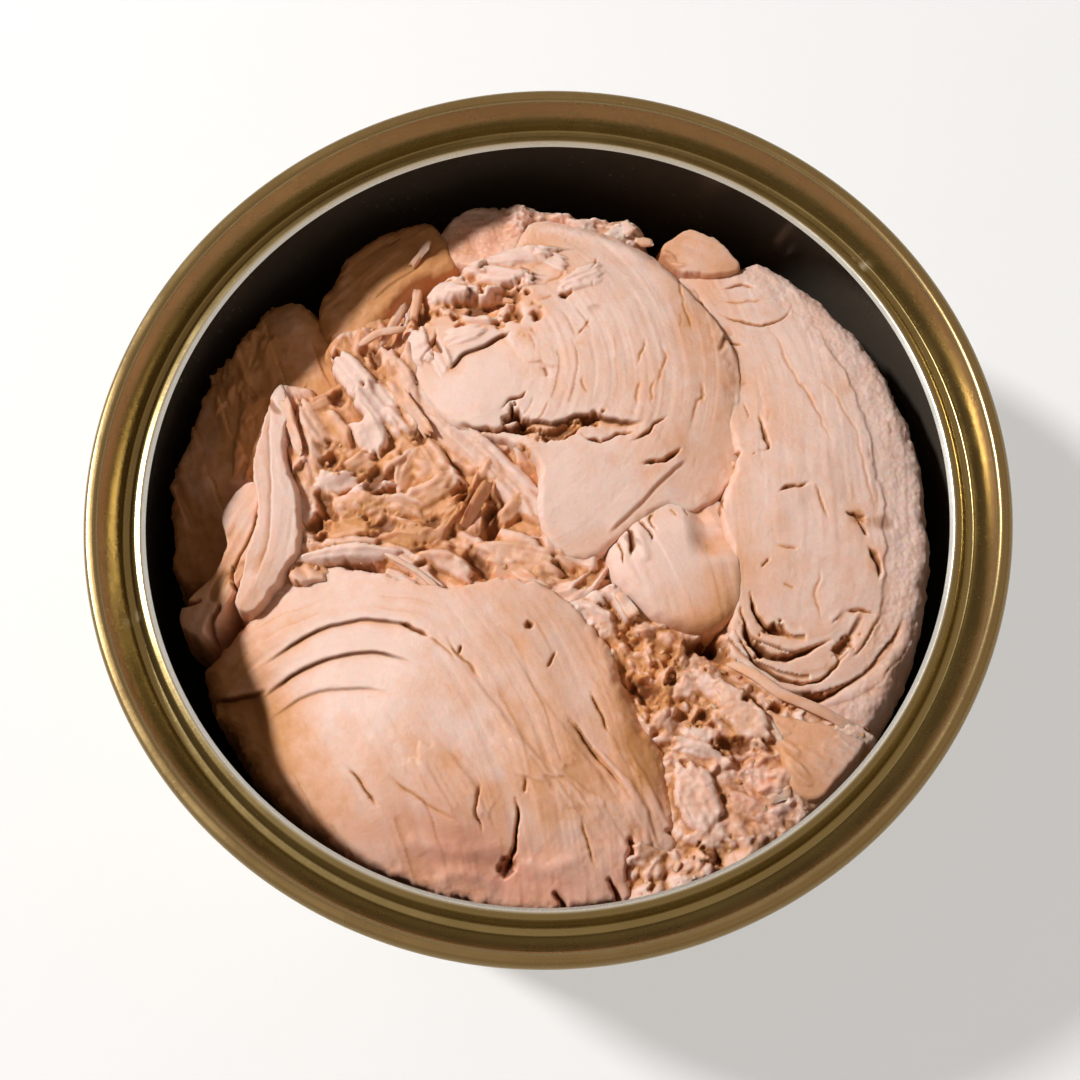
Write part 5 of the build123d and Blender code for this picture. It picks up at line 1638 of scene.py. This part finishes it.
def crumbs(heap, node_name, count, sizes, lifts, rng, warm):
    """Strews small torn bits over a heap's footprint."""
    ring = footprint(node_name)
    lo, hi = ring.min(0), ring.max(0)
    made = 0
    while made < count:
        spot = lo + (hi - lo) * rng.random(2)
        size = between(rng, sizes, 2)
        shape = (size, size * (0.45 + 0.4 * rng.random()), size * (0.3 + 0.25 * rng.random()))
        turn = (360 * rng.random(), 60 * rng.random() - 30, 90 * rng.random() - 45)
        level = fish_level + between(rng, lifts)
        tone = warm + 0.5 * rng.random() - 0.2
        if not inside(spot[:1], spot[1:], ring)[0]:
            continue
        seed = 1000 + made + int(37 * size)
        heap.add(spot, level, shape, turn, curl=0.3 * rng.random(), seed=seed, warm=tone, fine=0.26)
        made += 1


def centre_heap(material):
    """The loose flakes, strands and crumbs that lie on the shredded heap."""
    heap = Heap()
    level = fish_level
    # x, y, lift, (length, width, thickness), (yaw, pitch, roll), curl, arch, warm
    sheets = (
        (-25.6, 11.8, -0.1, (6.4, 1.5, 0.6), (-74, 0, 40), 0.2, 0.03, 0.05),
        (-12.6, 11.8, 0.0, (5.6, 1.5, 0.5), (-62, 0, 36), 0.25, 0.0, 0.15),
        (-7.0, 1.4, 0.2, (5.4, 1.6, 0.5), (58, 4, 60), 0.25, 0.0, 0.4),
    )
    for i, (x, y, lift, size, turn, curl, arch, warm) in enumerate(sheets):
        heap.add((x, y), level + lift, size, turn, curl, arch, 0.02, seed=500 + i, warm=warm)
    strands = (
        ([(-18.4, 20.4, -0.3), (-16.2, 21.4, 0.2), (-13.2, 21.8, 0.1)], 0.9, 0.6, 0.25),
        ([(-16.4, -3.0, 0.1), (-13.6, -4.8, 0.1), (-11.0, -7.2, -0.1)], 0.6, 0.5, 0.0),
    )
    for i, (points, width, thick, warm) in enumerate(strands):
        add_strand(heap, points, level, width, thick, 700 + 3 * i, warm)
    crumbs(heap, "heap_centre", 26, (0.4, 0.9), (-1.4, -0.7), np.random.default_rng(7), warm=0.45)
    return heap.build("flakes_centre", material)


def back_flakes(material):
    """The small loose plates round the upper chunk, at its far left and its back right."""
    heap = Heap()
    level = fish_level
    # x, y, lift, (length, width, thickness), (yaw, pitch, roll), warm
    plates = (
        (-12.2, 24.4, -0.3, (3.6, 1.2, 0.8), (80, 0, 10), 0.25),
        (-14.6, 22.8, -0.6, (5.0, 1.0, 0.6), (60, 0, 30), 0.2),
        (-11.5, 31.4, -1.4, (3.6, 0.9, 0.6), (50, 10, 0), 0.1),
        (10.6, 32.2, -1.4, (3.4, 1.6, 0.6), (24, 6, 0), -0.1),
        (13.0, 31.0, -1.8, (2.2, 0.9, 0.5), (-20, 0, 0), 0.2),
    )
    for i, (x, y, lift, size, turn, warm) in enumerate(plates):
        heap.add((x, y), level + lift, size, turn, 0.06, seed=620 + i, warm=warm)
    return heap.build("flakes_back", material)


def right_heap(material):
    """The loose crumbs, flakes and strand on the crumbly heap."""
    heap = Heap()
    level = fish_level
    strand = [(16.4, -16.6, -1.3), (18.2, -17.4, -0.5), (21.0, -19.9, -0.4), (24.6, -21.9, -0.6),
              (28.6, -24.4, -1.5)]
    add_strand(heap, strand, level, 1.1, 0.5, 900, 0.22)
    # x, y, lift, (length, width, thickness), (yaw, pitch, roll), warm
    flakes = (
        (7.2, -10.2, -0.1, (3.0, 1.2, 0.6), (-62, 4, 8), 0.05),
        (19.8, -29.6, -1.2, (2.4, 1.2, 0.5), (20, 6, 10), 0.1),
    )
    for i, (x, y, lift, size, turn, warm) in enumerate(flakes):
        heap.add((x, y), level + lift, size, turn, 0.06, 0.03, seed=800 + i, warm=warm)
    crumbs(heap, "heap_right", 45, (0.5, 1.0), (-1.6, -0.9), np.random.default_rng(11), warm=0.35)
    return heap.build("flakes_right", material)


# --- putting it together ------------------------------------------------------------------


def make_fish():
    material = flesh_material()
    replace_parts(chunk_front(material), "chunk_front")
    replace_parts(chunk_back(material), "chunk_back")
    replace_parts(chunk_middle(material), "chunk_middle")
    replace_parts(chunk_right(material), "chunk_right")
    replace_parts(chunk_corner(material), "chunk_corner")
    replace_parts(chunk_back_left(material), "chunk_back_left")
    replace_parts(strip_back(material), "strip_back")
    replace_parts(chunk_left(material), "chunk_left")
    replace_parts(slice_inner(material), "slice_inner")
    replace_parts(slice_outer(material), "slice_outer")
    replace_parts(flap_right(material), "flap_right")
    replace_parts(core_centre(material), "heap_centre")
    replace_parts(core_right(material), "heap_right")
    centre_heap(material)
    back_flakes(material)
    right_heap(material)


def seam_line(node):
    """The closed outline, as (r, z) in mm, of a CAD node that was turned about the can's axis."""
    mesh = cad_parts[node].data
    co = np.array([v.co for v in mesh.vertices]) / MM
    places, index = np.unique(np.round(co[:, [0, 2]], 3), axis=0, return_inverse=True)
    index = index.reshape(-1)
    on_line = (abs(co[:, 1]) < 0.001) & (co[:, 0] > 0)
    near = {}
    for edge in mesh.edges:
        a, b = edge.vertices
        if on_line[a] and on_line[b] and index[a] != index[b]:
            near.setdefault(int(index[a]), set()).add(int(index[b]))
            near.setdefault(int(index[b]), set()).add(int(index[a]))
    loop = [min(near)]
    here = min(near[loop[0]])
    while here != loop[0]:
        loop.append(here)
        here = next(k for k in near[here] if k != loop[-2])
    r, z = places[loop].T
    area = (r * np.roll(z, -1) - z * np.roll(r, -1)).sum()
    return places[loop[::-1] if area > 0 else loop]


def fine_ring(material):
    """The end's ring as a finely turned mesh with the CAD node's own outline, and its few scuffs."""
    outline = seam_line("end_ring")
    turn = np.linspace(0, 2 * math.pi, ring_steps, endpoint=False)[:, None]
    r, z = outline.T
    verts = np.stack([r * np.cos(turn), r * np.sin(turn), z + 0 * turn], axis=-1).reshape(-1, 3)
    wear = np.zeros(len(verts))
    # spot, radius, depth of each scuff, in mm
    for spot, radius, depth in (
        ((34.0, 21.5, 34.8), 0.6, 0.08), ((33.2, 22.2, 34.6), 0.35, 0.05), ((40.6, 0.3, 37.0), 0.7, 0.1),
        ((40.9, -1.0, 37.6), 0.8, 0.12), ((-38.9, -9.1, 34.6), 0.45, 0.06), ((-38.6, -8.4, 34.4), 0.3, 0.04),
    ):
        far = np.linalg.norm(verts - np.array(spot), axis=1) / radius
        ragged = 1 + 0.9 * fractal(verts[:, 0] / 0.3, (verts[:, 1] + verts[:, 2]) / 0.3, 3, 3)
        mark = np.exp(-(far**2)) * ragged
        verts[:, 2] -= depth * mark
        wear = np.maximum(wear, mark)
    grid = np.arange(len(verts)).reshape(ring_steps, len(outline))
    after = np.roll(grid, -1, axis=0)
    beyond, beside = np.roll(after, -1, axis=1), np.roll(grid, -1, axis=1)
    faces = np.stack([grid, after, beyond, beside], axis=-1).reshape(-1, 4)
    tone = np.column_stack([np.clip(wear, 0, 1)] * 3)
    ring = add_mesh("ring_fine", verts, [faces], material, tone)
    ring.data.set_sharp_from_angle(angle=math.radians(35))
    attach(ring, BODY)
    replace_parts(ring, "end_ring")


def make_can():
    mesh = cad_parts["can_body"].data
    mesh.materials.clear()
    mesh.materials.append(can_material())
    fine_ring(ring_material())


def seen_directly(tree):
    """1 for what the camera sees, straight or in a reflection or through glass, and 0 for lighting."""
    path = node(tree, "ShaderNodeLightPath")
    seen = math_node(tree, "ADD", path.outputs["Is Camera Ray"], path.outputs["Is Glossy Ray"], clamp=True)
    return math_node(tree, "ADD", seen, path.outputs["Is Transmission Ray"], clamp=True)


def make_stage():
    """A pale floor that curves up into a pale backdrop all round."""
    radius, curve, height = 0.7, 0.5, 0.9  # flat floor, the bend's radius and the backdrop's top, in m
    count = 96
    profile = [(radius, 0.0)]
    profile += [(radius + curve * math.sin(a), curve - curve * math.cos(a))
                for a in np.linspace(0.1, math.pi / 2, 14)]
    profile.append((radius + curve, height))
    turn = np.linspace(0, 2 * math.pi, count, endpoint=False)
    verts = [(r * math.cos(a), r * math.sin(a), z) for r, z in profile for a in turn]
    faces = [tuple(range(count))]
    for row in range(len(profile) - 1):
        for i in range(count):
            j = (i + 1) % count
            faces.append((row * count + j, row * count + i, (row + 1) * count + i, (row + 1) * count + j))
    mesh = bpy.data.meshes.new("floor")
    mesh.from_pydata(verts, [], faces)
    for polygon in mesh.polygons:
        polygon.use_smooth = len(polygon.vertices) == 4
    floor = bpy.data.objects.new("floor", mesh)
    floor.location.z = cad_box[0][2]
    bpy.context.scene.collection.objects.link(floor)
    material, tree, shader = new_material("pale_floor")
    shader.inputs["Base Color"].default_value = (0.92, 0.925, 0.93, 1)
    shader.inputs["Roughness"].default_value = 0.8
    glow = node(tree, "ShaderNodeEmission", Strength=1.0)
    mix = node(tree, "ShaderNodeMixShader")
    tree.links.new(math_node(tree, "MULTIPLY", seen_directly(tree), 0.45), mix.inputs[0])
    tree.links.new(shader.outputs["BSDF"], mix.inputs[1])
    tree.links.new(glow.outputs["Emission"], mix.inputs[2])
    tree.links.new(mix.outputs["Shader"], tree.nodes["Material Output"].inputs["Surface"])
    mesh.materials.append(material)


def make_lights():
    """One soft lamp, on the left and a little behind, and a low warm fill from all round."""
    fill_colour = (1.0, 0.79, 0.56, 1)
    fill, backdrop = 0.17, 0.5  # strength of the fill as light, and as what the camera sees
    world = bpy.data.worlds.new("studio")
    world.use_nodes = True
    tree = world.node_tree
    background = tree.nodes["Background"]
    background.inputs["Color"].default_value = fill_colour
    strength = remap(tree, seen_directly(tree), 0, 1, fill, backdrop)
    tree.links.new(strength, background.inputs["Strength"])
    bpy.context.scene.world = world
    lamp = bpy.data.lights.new("key", "AREA")
    lamp.shape = "DISK"
    lamp.size = 0.085
    lamp.energy = 5.85
    lamp.color = (1.0, 0.985, 0.965)
    key = bpy.data.objects.new("key", lamp)
    azimuth, height, distance = math.radians(154), math.radians(47), 0.75
    level = math.cos(height)
    toward = Vector((math.cos(azimuth) * level, math.sin(azimuth) * level, math.sin(height)))
    key.location = Vector((0, 0, cad_box[1][2])) + distance * toward
    key.rotation_euler = toward.to_track_quat("Z", "Y").to_euler()
    bpy.context.scene.collection.objects.link(key)


def make_camera():
    """A close camera that looks steeply down into the can, tipped a little to one side."""
    distance, elevation, tip = 0.115, math.radians(69.6), math.radians(5.65)
    aside = Vector((-0.00072, -0.0059, 0))  # how far the aim lies from the middle of the rim
    rim = Vector((0, 0, cad_box[1][2]))
    place = rim + distance * Vector((0, -math.cos(elevation), math.sin(elevation)))
    aim = rim + aside
    forward = (aim - place).normalized()
    right = forward.cross(Vector((0, 0, 1))).normalized()
    up = right.cross(forward)
    x_axis = right * math.cos(tip) - up * math.sin(tip)
    y_axis = right * math.sin(tip) + up * math.cos(tip)
    camera = bpy.data.cameras.new("camera")
    camera.lens = 41.0
    camera.sensor_width = 36.0
    camera.clip_start = 0.005
    made = bpy.data.objects.new("camera", camera)
    made.matrix_world = Matrix.Translation(place) @ Matrix((x_axis, y_axis, -forward)).transposed().to_4x4()
    bpy.context.scene.collection.objects.link(made)
    bpy.context.scene.camera = made


make_fish()
make_can()
make_stage()
make_lights()
make_camera()
bpy.context.scene.view_settings.view_transform = "Standard"
